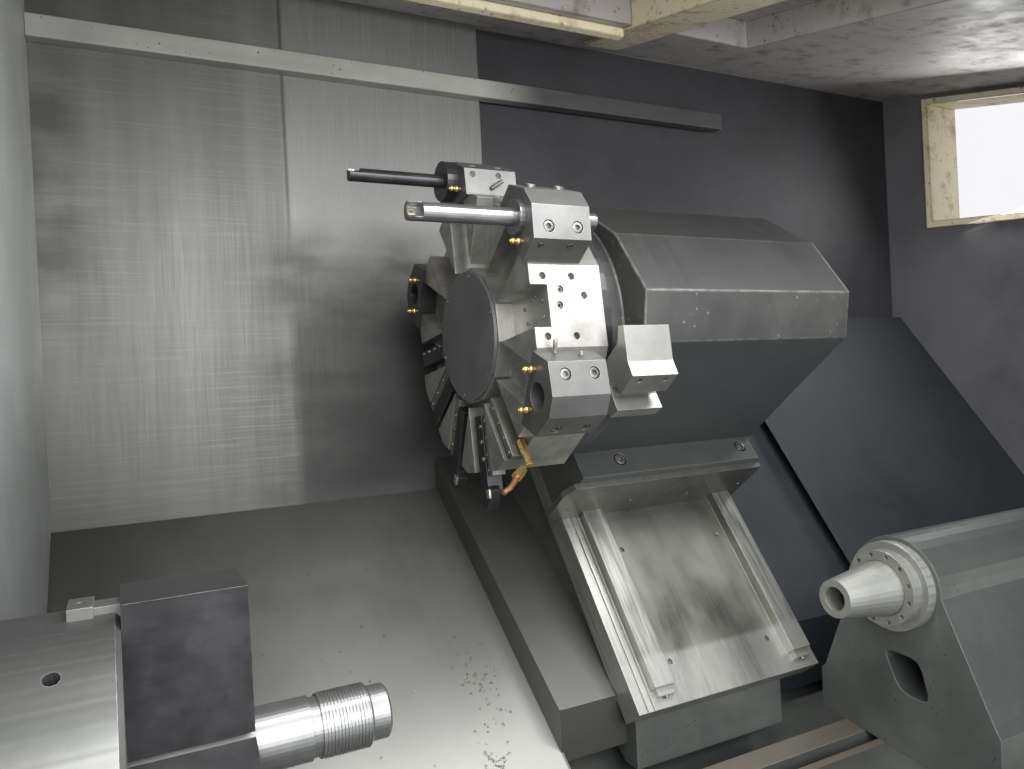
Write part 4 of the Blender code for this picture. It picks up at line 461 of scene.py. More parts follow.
@dataclass(frozen=True)
class BrushedWall:
    """The brushed sheet of the back wall: cross-hatched on the left, plain on the right, with dark smears and
    painted reflections.

    Attributes:
        name: The material's name.
        slot: The material slot of the record.
        dark: The darkest colour of the cross-hatched part.
        pale: Its palest colour.
        band: The colour of its pale bands and threads.
        low: The colour of the plain part's foot.
        high: The colour of its head, a painted lamp reflection.
        smear_and_reflection: The colour of the smears, the seam and the painted dark reflection.
        rough_low: The lowest roughness.
        rough_high: The highest roughness.
        bands: Rows of a band's middle, its reach to each side and its strength.
    """

    name: str
    slot: str
    dark: Colour
    pale: Colour
    band: Colour
    low: Colour
    high: Colour
    smear_and_reflection: Colour
    rough_low: float
    rough_high: float
    bands: tuple[tuple[float, float, float], ...] = (
        (-0.80, 0.06, 0.20),
        (-0.63, 0.13, 0.30),
        (-0.50, 0.09, 0.20),
    )

    def hatched(self, graph: Graph, wide: Socket, fine: Socket, cloud: Socket) -> Socket:
        """The cross-hatched part left of the seam.

        Args:
            graph: The material's graph.
            wide: The broad upright grain.
            fine: The fine upright grain.
            cloud: The clouds over the sheet.

        Returns:
            Its colour.
        """
        across, height = graph.part_of("X"), graph.part_of("Z")
        raised = graph.ramp(height, 1.35, 1.85, 0.55, 1.0)
        patch = graph.times(graph.ramp(cloud, 0.34, 0.62, 0.45, 1.0), raised)
        strokes = graph.ramp(graph.sum("ADD", wide, graph.times(fine, 0.25)), 0.48, 0.80, 0.55, 1.0)
        colour = graph.mix(graph.times(patch, strokes), self.dark, self.pale)
        for centre, reach, strength in self.bands:
            left = graph.ramp(across, centre - reach, centre)
            right = graph.ramp(across, centre + reach, centre)
            upper = graph.ramp(height, 1.55, 1.80, 0.25, 1.0)
            ragged = graph.ramp(wide, 0.35, 0.60, 0.35, 1.0)
            colour = graph.mix(graph.times(left, right, upper, ragged, strength), colour, self.band)
        threads = graph.noise(graph.mapped((0.02, 1, 1)), 210.0, 2.0, 0.6)
        worked = graph.times(graph.ramp(threads, 0.52, 0.74), graph.ramp(cloud, 0.40, 0.60, 0.15, 0.5))
        return graph.mix(worked, colour, self.band)

    def material(self) -> Material:
        """Makes the material.

        Returns:
            The material, ready to be set on a piece.
        """
        graph = Graph(self.name)
        fine = graph.noise(graph.mapped((1, 1, 0.02)), 420.0, 2.0, 0.6)
        wide = graph.noise(graph.mapped((1, 1, 0.10)), 11.0, 3.0, 0.6)
        cloud = graph.noise(graph.mapped((1, 1, 0.8)), 1.9, 3.0, 0.5)
        across, height = graph.part_of("X"), graph.part_of("Z")
        # The plain part's head is paler: a painted lamp reflection, streaked by the fine grain.
        painted_lamp_reflection = graph.times(graph.ramp(height, 1.70, 1.99), graph.ramp(fine, 0.35, 0.65, 0.75, 1.0))
        plain = graph.mix(painted_lamp_reflection, self.low, self.high)
        colour = graph.mix(graph.ramp(across, -0.400, -0.372), self.hatched(graph, wide, fine, cloud), plain)
        blotch_noise = graph.noise(graph.mapped((0.6, 1, 1.6)), 5.0, 4.0, 0.55)
        # The dark patch on the right, below the head, is a painted reflection of the turret's tooling; the
        # top left has smears.
        painted_tool_reflection = graph.times(graph.ramp(across, -0.52, -0.36), graph.ramp(height, 1.99, 1.88))
        left_side = graph.times(graph.ramp(across, -0.80, -0.88), graph.ramp(height, 1.60, 1.85), 0.8)
        smears_and_reflection = graph.sum("MAXIMUM", painted_tool_reflection, left_side)
        colour = graph.mix(graph.times(graph.ramp(blotch_noise, 0.42, 0.60, 0.0, 0.7), smears_and_reflection), colour, self.smear_and_reflection)
        seam = graph.times(graph.ramp(across, -0.392, -0.386), graph.ramp(across, -0.379, -0.385))
        colour = graph.mix(graph.times(seam, graph.ramp(height, 1.85, 2.05, 0.0, 0.7)), colour, self.smear_and_reflection)
        rough = graph.ramp(graph.blend(fine, 0.4, cloud), 0.35, 0.65, self.rough_low, self.rough_high)
        normal, _ = graph.edge(0.0015)
        return graph.finished(colour, rough, graph.bump(fine, 0.10, GRAIN_HEIGHT, normal), 0.6)


@dataclass(frozen=True)
class StainedPaint:
    """Old paint, with brown stains that gather at edges and drips.

    Attributes:
        name: The material's name.
        slot: The material slot of the record.
        paint: The clean colour.
        stain: The colour of the stains.
        rust: The colour of the rust at spots and edges.
        stained: How far the stains spread.
        outer: The colour of faces that look up, if they are clean.
    """

    name: str
    slot: str
    paint: Colour
    stain: Colour
    rust: Colour
    stained: float
    outer: Colour | None = None

    def material(self) -> Material:
        """Makes the material.

        Returns:
            The material, ready to be set on a piece.
        """
        graph = Graph(self.name)
        plain = graph.mapped(EVEN)
        soot = graph.noise(plain, 14.0, 6.0, 0.65)
        patchy = graph.ramp(graph.noise(plain, 9.0), 0.45, 0.6)
        colour = graph.mix(graph.ramp(soot, 0.62 - self.stained, 0.78 - self.stained), self.paint, self.stain)
        colour = graph.mix(graph.times(graph.spots(plain, 46.0, 0.30, 0.12), patchy, 0.8), colour, self.rust)
        normal, rim = graph.edge(0.006)
        colour = graph.mix(graph.times(rim, 0.75), colour, self.rust)
        if self.outer is not None:
            colour = graph.mix(graph.ramp(graph.facing(UPWARD), 0.5, 0.8), colour, self.outer)
        rough = graph.ramp(soot, 0.3, 0.7, 0.42, 0.75)
        return graph.finished(colour, rough, graph.bump(soot, 0.25, 0.002, normal), 0.0)


@dataclass(frozen=True)
class PolishedWay:
    """The ground slideway plate: bright where the slide's edges run, dull and smeared between the strips,
    with a painted shadow over its upper stretch.

    Attributes:
        name: The material's name.
        slot: The material slot of the record.
        bright: The colour of the ways, the strips and the edges.
        middle: The colour between them.
        dark: The colour of the smears, the spots and the painted shadow.
        shadow_start: Where the painted shadow under the slide starts to fade, down the slide.
        shadow_end: Where it is full.
        rested_start: Where the bright lower end starts, down the slide.
        rested_end: Where it is full.
        way_start: Where the left way starts to fade, along the machine.
        way_end: Where it is full.
        strip_start: The height at which the strips' tops start, over the turret axis.
        strip_end: The height at which they are full.
    """

    name: str
    slot: str
    bright: Colour
    middle: Colour
    dark: Colour
    shadow_start: float = -0.42
    shadow_end: float = -0.30
    rested_start: float = -0.628
    rested_end: float = -0.640
    way_start: float = 0.150
    way_end: float = 0.147
    strip_start: float = -0.279
    strip_end: float = -0.277

    def material(self) -> Material:
        """Makes the material.

        Returns:
            The material, ready to be set on a piece.
        """
        graph = Graph(self.name)
        plain = graph.mapped(EVEN)
        slanted = graph.mapped(EVEN, DOWN_THE_SLIDE, (0, TURRET_Y, TURRET_Z))
        run, out = graph.part_of("Y", slanted), graph.part_of("Z", slanted)
        streaks = graph.noise(graph.mapped((1, 0.05, 1), DOWN_THE_SLIDE), 150.0, 3.0, 0.6)
        fine = graph.noise(graph.mapped((1, 0.03, 1), DOWN_THE_SLIDE), 600.0, 2.0, 0.6)
        cloud = graph.noise(graph.mapped((1, 0.6, 1), DOWN_THE_SLIDE), 6.5, 3.0, 0.5)
        colour = graph.mix(graph.ramp(cloud, 0.36, 0.62), self.dark, self.middle)
        # Painted shadow over the upper stretch, under the slide
        painted_shadow = graph.ramp(run, self.shadow_start, self.shadow_end)
        colour = graph.mix(graph.times(painted_shadow, 0.55), colour, self.dark)
        rested = graph.ramp(run, self.rested_start, self.rested_end)
        left_way = graph.ramp(graph.part_of("X"), self.way_start, self.way_end)
        strip_top = graph.ramp(out, self.strip_start, self.strip_end)
        for region, broken in (
            (rested, graph.ramp(cloud, 0.2, 0.5, 0.4, 0.7)),
            (left_way, graph.ramp(streaks, 0.35, 0.65, 0.45, 1.0)),
            (strip_top, graph.ramp(streaks, 0.40, 0.60, 0.10, 0.75)),
        ):
            colour = graph.mix(graph.times(region, broken), colour, self.bright)
        normal, rim = graph.edge(0.0022)
        colour = graph.mix(graph.times(rim, 0.85), colour, self.bright)
        patchy = graph.ramp(graph.noise(plain, 14.0), 0.48, 0.6, 0.0, 0.7)
        colour = graph.mix(graph.times(graph.spots(plain, 120.0, 0.13, 0.08), patchy), colour, self.dark)
        rough = graph.ramp(graph.blend(fine, 0.4, cloud), 0.32, 0.66, 0.22, 0.46)
        return graph.finished(colour, rough, graph.bump(fine, 0.14, GRAIN_HEIGHT, normal), 0.8)


@dataclass(frozen=True)
class MilkyPane:
    """A pane that lets light through, with a faint film.

    Attributes:
        name: The material's name.
        slot: The material slot of the record.
        tint: The colour of the clean pane.
        film: The colour of the film.
    """

    name: str
    slot: str
    tint: Colour
    film: Colour

    def material(self) -> Material:
        """Makes the material.

        Returns:
            The material, ready to be set on a piece.
        """
        graph = Graph(self.name)
        film = graph.noise(graph.mapped(EVEN), 6.0, 4.0, 0.6)
        graph.shader.inputs["Transmission Weight"].default_value = 1.0
        graph.shader.inputs["IOR"].default_value = 1.05
        colour = graph.mix(film, self.tint, self.film)
        return graph.finished(colour, graph.ramp(film, 0.3, 0.7, 0.03, 0.08), None, 0.0)


# Its head colour paints a lamp reflection, and its smear colour also paints a dark reflection of the tooling.
PANEL = BrushedWall(
    "panel_brushed", "brushed_steel", (0.072, 0.073, 0.068), (0.165, 0.166, 0.155), (0.215, 0.215, 0.20),
    (0.058, 0.058, 0.056), (0.215, 0.215, 0.208), (0.035, 0.035, 0.034), 0.42, 0.60,
)
LEFT_WALL = Finish(
    "left_wall_sheet", "brushed_steel", (0.40, 0.415, 0.41), (0.50, 0.515, 0.505), 0.5, 0.42, 0.62,
    grain=Grain.UPRIGHT, cloud_scale=2.2, edge_share=0.3, specks=0.5,
    # The fade darkens the wall towards its foot: painted shade.
    fades=(("Z", 1.62, 1.42, 0.55, (0.12, 0.125, 0.122)),),
)
LEDGE = Finish(
    "ledge_sheet", "brushed_steel", (0.33, 0.335, 0.31), (0.44, 0.44, 0.41), 0.5, 0.4, 0.6,
    grain=Grain.ALONG, cloud_scale=4.0, edge_share=0.4, specks=0.9, speck_scale=60.0,
    fades=(("X", 0.14, 0.34, 0.9, (0.055, 0.055, 0.060)),),
)
DARK_SHEET = Finish(
    "dark_sheet", "dark_sheet", (0.024, 0.024, 0.027), (0.040, 0.040, 0.045), 0.15, 0.52, 0.74,
    cloud_scale=2.5, edge_share=0.35, edge_colour=(0.20, 0.20, 0.20), specks=0.7,
    speck_colour=(0.10, 0.10, 0.09),
)
RIGHT_COVER = replace(
    DARK_SHEET, name="right_cover", colour=(0.013, 0.017, 0.021), worn=(0.023, 0.028, 0.032)
)
END_WALL = Finish(
    "end_wall_sheet", "dark_sheet", (0.13, 0.128, 0.140), (0.20, 0.197, 0.21), 0.35, 0.38, 0.62,
    cloud_scale=1.8, edge_share=0.35, edge_colour=(0.25, 0.24, 0.22), specks=0.9, speck_scale=60.0,
    speck_colour=(0.22, 0.20, 0.17),
)
COVER_SHEET = Finish(
    "cover_sheet", "brushed_steel", (0.120, 0.118, 0.110), (0.180, 0.178, 0.166), 0.55, 0.36, 0.54,
    grain=Grain.SLANT, turn=(-COVER_SLANT, 0, 0), cloud_scale=1.6, edge_share=0.6,
    edge_colour=(0.35, 0.35, 0.33), specks=0.9, speck_scale=120.0, speck_colour=(0.22, 0.215, 0.20),
    # The fades are painted light and shade: paler towards the front, darker towards the rear and towards the
    # left.
    fades=(
        ("Y", 0.36, 0.02, 0.90, (0.33, 0.332, 0.312)),
        ("Y", 0.40, 0.58, 0.55, (0.055, 0.054, 0.051)),
        ("X", -0.45, -0.85, 0.70, (0.045, 0.045, 0.042)),
    ),
)
MOVING_COVER = replace(
    COVER_SHEET,
    name="moving_cover",
    # It keeps the cover's painted light and shade, and the added fade paints the saddle's shadow right of X =
    # -0.03.
    fades=(*COVER_SHEET.fades, ("X", -0.032, -0.0305, 0.80, (0.085, 0.084, 0.078))),
    # Faces that look to the front get painted shade.
    painted_light_by_facing=(((0, -1, 0), 0.8, 0.95, (0.062, 0.061, 0.056)),),
)
GREEN_CASTING = Finish(
    "green_casting", "cast_green", (0.076, 0.083, 0.077), (0.112, 0.119, 0.110), 0.25, 0.38, 0.62,
    cloud_scale=5.0, grain_scale=90.0, grain_depth=0.35, edge_share=0.55, edge_colour=(0.24, 0.25, 0.24),
    edge_width=0.003, specks=0.9, speck_scale=70.0, speck_colour=(0.012, 0.012, 0.012),
    # Faces that look up get painted shade.
    painted_light_by_facing=((UPWARD, 0.05, 0.45, (0.042, 0.046, 0.043)),),
)
BED_CASTING = replace(
    GREEN_CASTING,
    name="bed_casting", colour=(0.050, 0.055, 0.051), worn=(0.078, 0.083, 0.077),
    rough_low=0.36, rough_high=0.60, painted_light_by_facing=(),
    strips=((-0.237, -0.191), (-0.285, -0.271)), strip_colour=(0.125, 0.108, 0.085),
)
HOUSING_PAINT = Finish(
    "housing_paint", "cast_green", (0.032, 0.033, 0.033), (0.056, 0.055, 0.053), 0.35, 0.38, 0.60,
    grain=Grain.SLANT, turn=DOWN_THE_SLIDE, grain_scale=60.0, grain_depth=0.3, cloud_scale=4.0,
    edge_share=0.85, edge_colour=(0.23, 0.21, 0.19), edge_width=0.007, specks=1.0, speck_scale=55.0,
    speck_colour=(0.16, 0.15, 0.13),
    # Faces that look up get painted shade, and faces that look down get painted light.
    painted_light_by_facing=((UPWARD, 0.3, 0.6, (0.021, 0.021, 0.021)), (UPWARD, -0.2, -0.5, (0.072, 0.079, 0.080))),
)
GROUND = Finish(
    "ground_steel", "ground_steel", (0.150, 0.152, 0.148), (0.110, 0.111, 0.107), 0.75, 0.42, 0.56,
    grain=Grain.ALONG, cloud_scale=9.0, edge_share=0.6, edge_colour=(0.66, 0.66, 0.63), specks=0.35,
    speck_scale=160.0, speck_colour=(0.08, 0.08, 0.07),
)
BRACKET_STEEL = replace(
    GROUND,
    name="bracket_steel", colour=(0.33, 0.33, 0.31), worn=(0.25, 0.25, 0.235), metallic=0.8,
    rough_low=0.30, rough_high=0.48,
)
DISC_STEEL = Finish(
    "disc_steel", "ground_steel", (0.40, 0.395, 0.37), (0.24, 0.235, 0.215), 0.8, 0.30, 0.50,
    grain=Grain.ALONG, cloud_scale=11.0, edge_share=0.7, edge_colour=(0.66, 0.65, 0.61), specks=0.5,
    speck_scale=150.0, speck_colour=(0.05, 0.05, 0.045),
)
SLIDEWAY = Finish(
    "slideway_steel", "ground_steel", (0.225, 0.225, 0.205), (0.115, 0.117, 0.105), 0.8, 0.24, 0.46,
    grain=Grain.SLANT, turn=DOWN_THE_SLIDE, cloud_scale=3.6, edge_share=0.75,
    edge_colour=(0.62, 0.62, 0.58), specks=0.5, speck_scale=140.0, speck_colour=(0.04, 0.04, 0.038),
)
# Its dark colour also paints the shadow over the plate's upper stretch.
WAY_PLATE = PolishedWay(
    "way_plate", "ground_steel", (0.46, 0.46, 0.435), (0.30, 0.30, 0.272), (0.125, 0.127, 0.112)
)
GIB_STEEL = Finish(
    "gib_steel", "ground_steel", (0.15, 0.145, 0.125), (0.24, 0.232, 0.20), 0.75, 0.32, 0.5,
    grain=Grain.ALONG, cloud_scale=16.0, edge_share=0.8, edge_colour=(0.55, 0.54, 0.50), edge_width=0.0008,
)
COVER_DISC = Finish(
    "cover_disc", "dark_sheet", (0.090, 0.092, 0.091), (0.115, 0.117, 0.115), 0.3, 0.42, 0.60,
    cloud_scale=9.0, edge_share=0.7, edge_colour=(0.35, 0.35, 0.34), specks=0.3, speck_scale=150.0,
    speck_colour=(0.15, 0.15, 0.14),
)
TURNED = Finish(
    "turned_steel", "turned_steel", (0.31, 0.315, 0.31), (0.23, 0.235, 0.23), 0.85, 0.26, 0.42,
    rings_at=(0.0, SPINDLE_Y, SPINDLE_Z), grain_scale=420.0, grain_depth=0.05, cloud_scale=6.0,
    edge_colour=(0.75, 0.75, 0.74),
)
QUILL_STEEL = replace(
    TURNED,
    name="quill_steel", colour=(0.355, 0.359, 0.333), worn=(0.281, 0.285, 0.266), metallic=0.7,
    rough_low=0.36, rough_high=0.54, cloud_scale=9.0, edge_colour=(0.55, 0.55, 0.53), specks=0.5,
    speck_scale=200.0, speck_colour=(0.06, 0.06, 0.055),
)
SATIN = replace(
    TURNED,
    name="satin_steel", colour=(0.20, 0.203, 0.196), worn=(0.155, 0.158, 0.152), metallic=0.65,
    rough_low=0.36, rough_high=0.52, grain_depth=0.04, cloud_scale=5.0, edge_share=0.6,
    edge_colour=(0.62, 0.62, 0.60), specks=0.4, speck_scale=180.0, speck_colour=(0.10, 0.10, 0.09),
)
# The chuck's fade darkens its top: a painted dark reflection.
CHUCK_STEEL = replace(
    SATIN, name="chuck_steel", rounded=True, fades=(("Z", 1.22, 1.30, 0.6, (0.07, 0.071, 0.069)),)
)
BAR_STEEL = Finish(
    "bar_steel", "turned_steel", (0.25, 0.255, 0.26), (0.19, 0.193, 0.196), 0.85, 0.20, 0.36,
    grain=Grain.ALONG, cloud_scale=14.0, edge_share=0.4, edge_colour=(0.80, 0.80, 0.80),
)
BLACK = Finish(
    "black_steel", "black_oxide", (0.022, 0.022, 0.024), (0.044, 0.044, 0.046), 0.6, 0.26, 0.44,
    grain=Grain.ALONG, cloud_scale=12.0, edge_share=0.6, edge_colour=(0.36, 0.36, 0.35), specks=0.4,
)
SCREW_STEEL = Finish(
    "screw_steel", "black_oxide", (0.10, 0.098, 0.09), (0.20, 0.195, 0.18), 0.8, 0.28, 0.44,
    cloud_scale=60.0, edge_share=0.8, edge_colour=(0.60, 0.59, 0.55), edge_width=0.0008,
)
BRASS = Finish(
    "brass", "brass", (0.70, 0.52, 0.20), (0.54, 0.38, 0.13), 0.9, 0.20, 0.36,
    cloud_scale=40.0, edge_share=0.4, edge_colour=(0.92, 0.78, 0.42), edge_width=0.0005,
)
COPPER = replace(
    BRASS,
    name="copper", colour=(0.66, 0.30, 0.17), worn=(0.46, 0.20, 0.11), rough_low=0.25, rough_high=0.45,
    edge_share=0.3, edge_colour=(0.88, 0.54, 0.38),
)
INSERT = Finish(
    "carbide_insert", "brass", (0.48, 0.44, 0.36), (0.34, 0.31, 0.25), 0.8, 0.22, 0.38,
    cloud_scale=90.0, edge_share=0.6, edge_colour=(0.85, 0.82, 0.74), edge_width=0.0004,
)
CHIP = Finish(
    "chip_steel", "ground_steel", (0.16, 0.13, 0.10), (0.34, 0.30, 0.25), 0.85, 0.25, 0.45,
    cloud_scale=60.0, edge_share=0.3, edge_width=0.0003,
)
CABINET = Finish(
    "cabinet_paint", "cabinet_paint", (0.319, 0.315, 0.294), (0.298, 0.294, 0.273), 0.0, 0.36, 0.50,
    cloud_scale=1.6, grain_scale=300.0, grain_depth=0.08, edge_share=0.25, edge_colour=(0.60, 0.59, 0.55),
    edge_width=0.003, coat=0.1,
)
PENDANT_PAINT = Finish(
    "pendant_paint", "frame_paint", (0.10, 0.11, 0.12), (0.13, 0.14, 0.15), 0.0, 0.42, 0.58,
    cloud_scale=5.0, grain_scale=400.0, grain_depth=0.2, edge_share=0.3, edge_colour=(0.25, 0.26, 0.27),
)
CREAM = StainedPaint(
    "cream_paint", "cream_paint", (0.84, 0.76, 0.54), (0.50, 0.41, 0.26), (0.20, 0.10, 0.045), 0.11
)
CEILING = StainedPaint(
    "ceiling_paint", "dark_sheet", (0.46, 0.43, 0.415), (0.25, 0.23, 0.205), (0.16, 0.115, 0.085), 0.10,
    outer=(0.31, 0.305, 0.285),
)
PANE = MilkyPane("window_glass", "window_glass", (0.98, 0.97, 1.0), (0.95, 0.95, 0.98))

AnyFinish = Finish | BrushedWall | StainedPaint | PolishedWay | MilkyPane

NODE_FINISHES: dict[str, AnyFinish] = {
    "back_wall_panel": PANEL,
    "headstock_wall": LEFT_WALL,
    "back_wall_ledge": LEDGE,
    "fixed_left_cover": COVER_SHEET,
    "left_moving_cover": MOVING_COVER,
    "front_chip_apron": COVER_SHEET,
    "back_wall_recess": DARK_SHEET,
    "fixed_right_cover": RIGHT_COVER,
    "right_moving_cover": RIGHT_COVER,
    "right_wall": END_WALL,
    "turret_cover": COVER_DISC,
    "chuck_body": CHUCK_STEEL,
    "coolant_bracket": BRACKET_STEEL,
    "master_jaw_1": SATIN,
    "master_jaw_2": SATIN,
    "master_jaw_3": SATIN,
    "roof_panel": CEILING,
    "slideway_plate": WAY_PLATE,
    "slide_wiper": SLIDEWAY,
    "turret_disc": DISC_STEEL,
    "turret_housing": HOUSING_PAINT,
    "bed_casting": BED_CASTING,
    "quill": QUILL_STEEL,
    "quill_ring": QUILL_STEEL,
    "bright_boring_bar": BAR_STEEL,
}
SLOT_FINISHES: dict[str, AnyFinish] = {
    "cast_green": GREEN_CASTING,
    "ground_steel": GROUND,
    "brushed_steel": COVER_SHEET,
    "dark_sheet": DARK_SHEET,
    "black_oxide": BLACK,
    "turned_steel": TURNED,
    "brass": BRASS,
    "cabinet_paint": CABINET,
    "frame_paint": PENDANT_PAINT,
    "window_glass": PANE,
    "cream_paint": CREAM,
}


class Workshop:
    """Keeps the materials, and turns finished bmeshes into pieces that ride on the machine's bodies."""

    def __init__(self, frame: dict) -> None:
        """Takes the frame that the pieces are built round.
        """
        self.frame = frame
        self.materials: dict[str, Material] = {}

    def material(self, finish: AnyFinish) -> Material:
        """The material of a finish, made once.

        Args:
            finish: The finish.

        Returns:
            Its material.
        """
        if finish.name not in self.materials:
            self.materials[finish.name] = finish.material()
        return self.materials[finish.name]

    def dress(self) -> None:
        """Sets each CAD node's finish, by its own name or else by its slot."""
        slots = {part["node"]: part["material_slot"] for part in self.frame["record"]["subparts"]}
        for name, node in self.frame["nodes"].items():
            finish = NODE_FINISHES.get(name) or SLOT_FINISHES[slots[name]]
            material = self.material(finish)
            for slot in node.material_slots:
                slot.material = material
            if not node.material_slots:
                node.data.materials.append(material)
            LOG.info("%s takes %s", name, finish.name)

    def piece(self, name: str, shape: Shape, finish: AnyFinish, body: str, smooth: bool = True) -> None:
        """Turns a bmesh into a piece of the machine.

        Args:
            name: The piece's name.
            shape: The finished bmesh, which is freed.
            finish: Its finish.
            body: The CAD body that it rides on.
            smooth: Whether its faces are shaded smooth where they meet at a low angle.
        """
        bmesh.ops.remove_doubles(shape, verts=shape.verts, dist=MERGE_DISTANCE)
        bmesh.ops.recalc_face_normals(shape, faces=shape.faces)
        mesh = bpy.data.meshes.new(name)
        shape.to_mesh(mesh)
        shape.free()
        made = bpy.data.objects.new(name, mesh)
        bpy.context.scene.collection.objects.link(made)
        mesh.materials.append(self.material(finish))
        if smooth:
            mesh.shade_smooth()
            mesh.set_sharp_from_angle(angle=SMOOTH_LIMIT)
        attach(made, body)
        LOG.info("%s rides on %s", name, body)


def add_all(shape: Shape, other: Shape) -> None:
    """Moves one bmesh into another, and frees it.

    Args:
        shape: The bmesh that takes it.
        other: The bmesh that is moved.
    """
    mesh = bpy.data.meshes.new("moved")
    other.to_mesh(mesh)
    other.free()
    shape.from_mesh(mesh)
    bpy.data.meshes.remove(mesh)


def add_rod(
    shape: Shape, radius: float, start: Vector, end: Vector, sides: int = 16, tip: float | None = None
) -> None:
    """Adds a closed round rod or cone.

    Args:
        shape: The bmesh that takes it.
        radius: Its radius at the start.
        start: Its first end.
        end: Its other end.
        sides: The number of its sides.
        tip: Its radius at the end, if it tapers.
    """
    run = end - start
    turn = Vector(UPWARD).rotation_difference(run).to_matrix().to_4x4()
    place = Matrix.Translation((start + end) / 2) @ turn
    far = radius if tip is None else tip
    bmesh.ops.create_cone(
        shape, cap_ends=True, segments=sides, radius1=radius, radius2=far, depth=run.length, matrix=place
    )


def add_ball(shape: Shape, radius: float, middle: Vector) -> None:
    """Adds a ball.

    Args:
        shape: The bmesh that takes it.
        radius: Its radius.
        middle: Its middle.
    """
    place = Matrix.Translation(middle)
    bmesh.ops.create_uvsphere(shape, u_segments=18, v_segments=10, radius=radius, matrix=place)


def add_block(shape: Shape, low: Iterable[float], high: Iterable[float], frame: Matrix, edge: float) -> None:
    """Adds a block with bevelled edges.

    Args:
        shape: The bmesh that takes it.
        low: Its lowest corner in the frame.
        high: Its highest corner in the frame.
        frame: The frame.
        edge: The width of its bevels.
    """
    low, high = Vector(low), Vector(high)
    place = frame @ Matrix.Translation((low + high) / 2) @ Matrix.Diagonal((*(high - low), 1))
    made = bmesh.ops.create_cube(shape, size=1.0, matrix=place)
    edges = list({side for vert in made["verts"] for side in vert.link_edges})
    bmesh.ops.bevel(shape, geom=edges, offset=edge, segments=2, profile=0.5, affect="EDGES", material=-1)


def add_thread(shape: Shape, start: Vector, end: Vector, radius: float, pitch: float) -> None:
    """Adds a threaded stud, made of rings that swell and narrow in turn.

    Args:
        shape: The bmesh that takes it.
        start: Its first end.
        end: Its other end.
        radius: Its radius over the ridges.
        pitch: The room of one ridge.
    """
    run = end - start
    count = max(1, round(run.length / pitch))
    step = run / count
    core = radius * 0.82
    for index in range(count):
        low = start + step * index
        add_rod(shape, core, low, low + step * 0.5, 16, radius)
        add_rod(shape, radius, low + step * 0.5, low + step, 16, core)


@dataclass(frozen=True)
class Screw:
    """The head of a socket screw.

    Attributes:
        radius: Its radius.
        height: Its height.
    """

    radius: float
    height: float

    def add(self, shape: Shape, place: Matrix) -> None:
        """Adds the head with its six-sided socket, standing on the frame's XY plane along +Z.

        Args:
            shape: The bmesh that takes it.
            place: The frame of the screw's seat.
        """
        head = bmesh.new()
        bmesh.ops.create_cone(
            head, cap_ends=True, segments=24, radius1=self.radius, radius2=self.radius, depth=self.height,
            matrix=Matrix.Translation((0, 0, self.height / 2)),
        )
        top = max(head.faces, key=lambda face: face.calc_center_median().z)
        bmesh.ops.bevel(
            head, geom=list(top.edges), offset=self.radius * 0.12, segments=2, profile=0.5, affect="EDGES",
            material=-1,
        )
        top = max(head.faces, key=lambda face: (round(face.calc_center_median().z, 6), face.calc_area()))
        bmesh.ops.inset_region(head, faces=[top], thickness=self.radius * 0.33)
        sunk = max(
            (face for face in head.faces if len(face.verts) > 12),
            key=lambda face: (round(face.calc_center_median().z, 6), -face.calc_area()),
        )
        for vert in sunk.verts:
            angle = math.atan2(vert.co.y, vert.co.x)
            from_flat = (angle % (math.pi / 3)) - math.pi / 6
            reach = self.radius * 0.50 / math.cos(from_flat)
            vert.co.x, vert.co.y = reach * math.cos(angle), reach * math.sin(angle)
        made = bmesh.ops.extrude_face_region(head, geom=[sunk])
        moved = [item for item in made["geom"] if isinstance(item, bmesh.types.BMVert)]
        bmesh.ops.translate(head, verts=moved, vec=(0, 0, -self.height * 0.6))
        bmesh.ops.delete(head, geom=[sunk], context="FACES_ONLY")
        bmesh.ops.transform(head, matrix=place, verts=head.verts)
        add_all(shape, head)


@dataclass
class Assembly:
    """An assembly of the machine that gets small pieces, with the workshop that takes them."""

    shop: Workshop


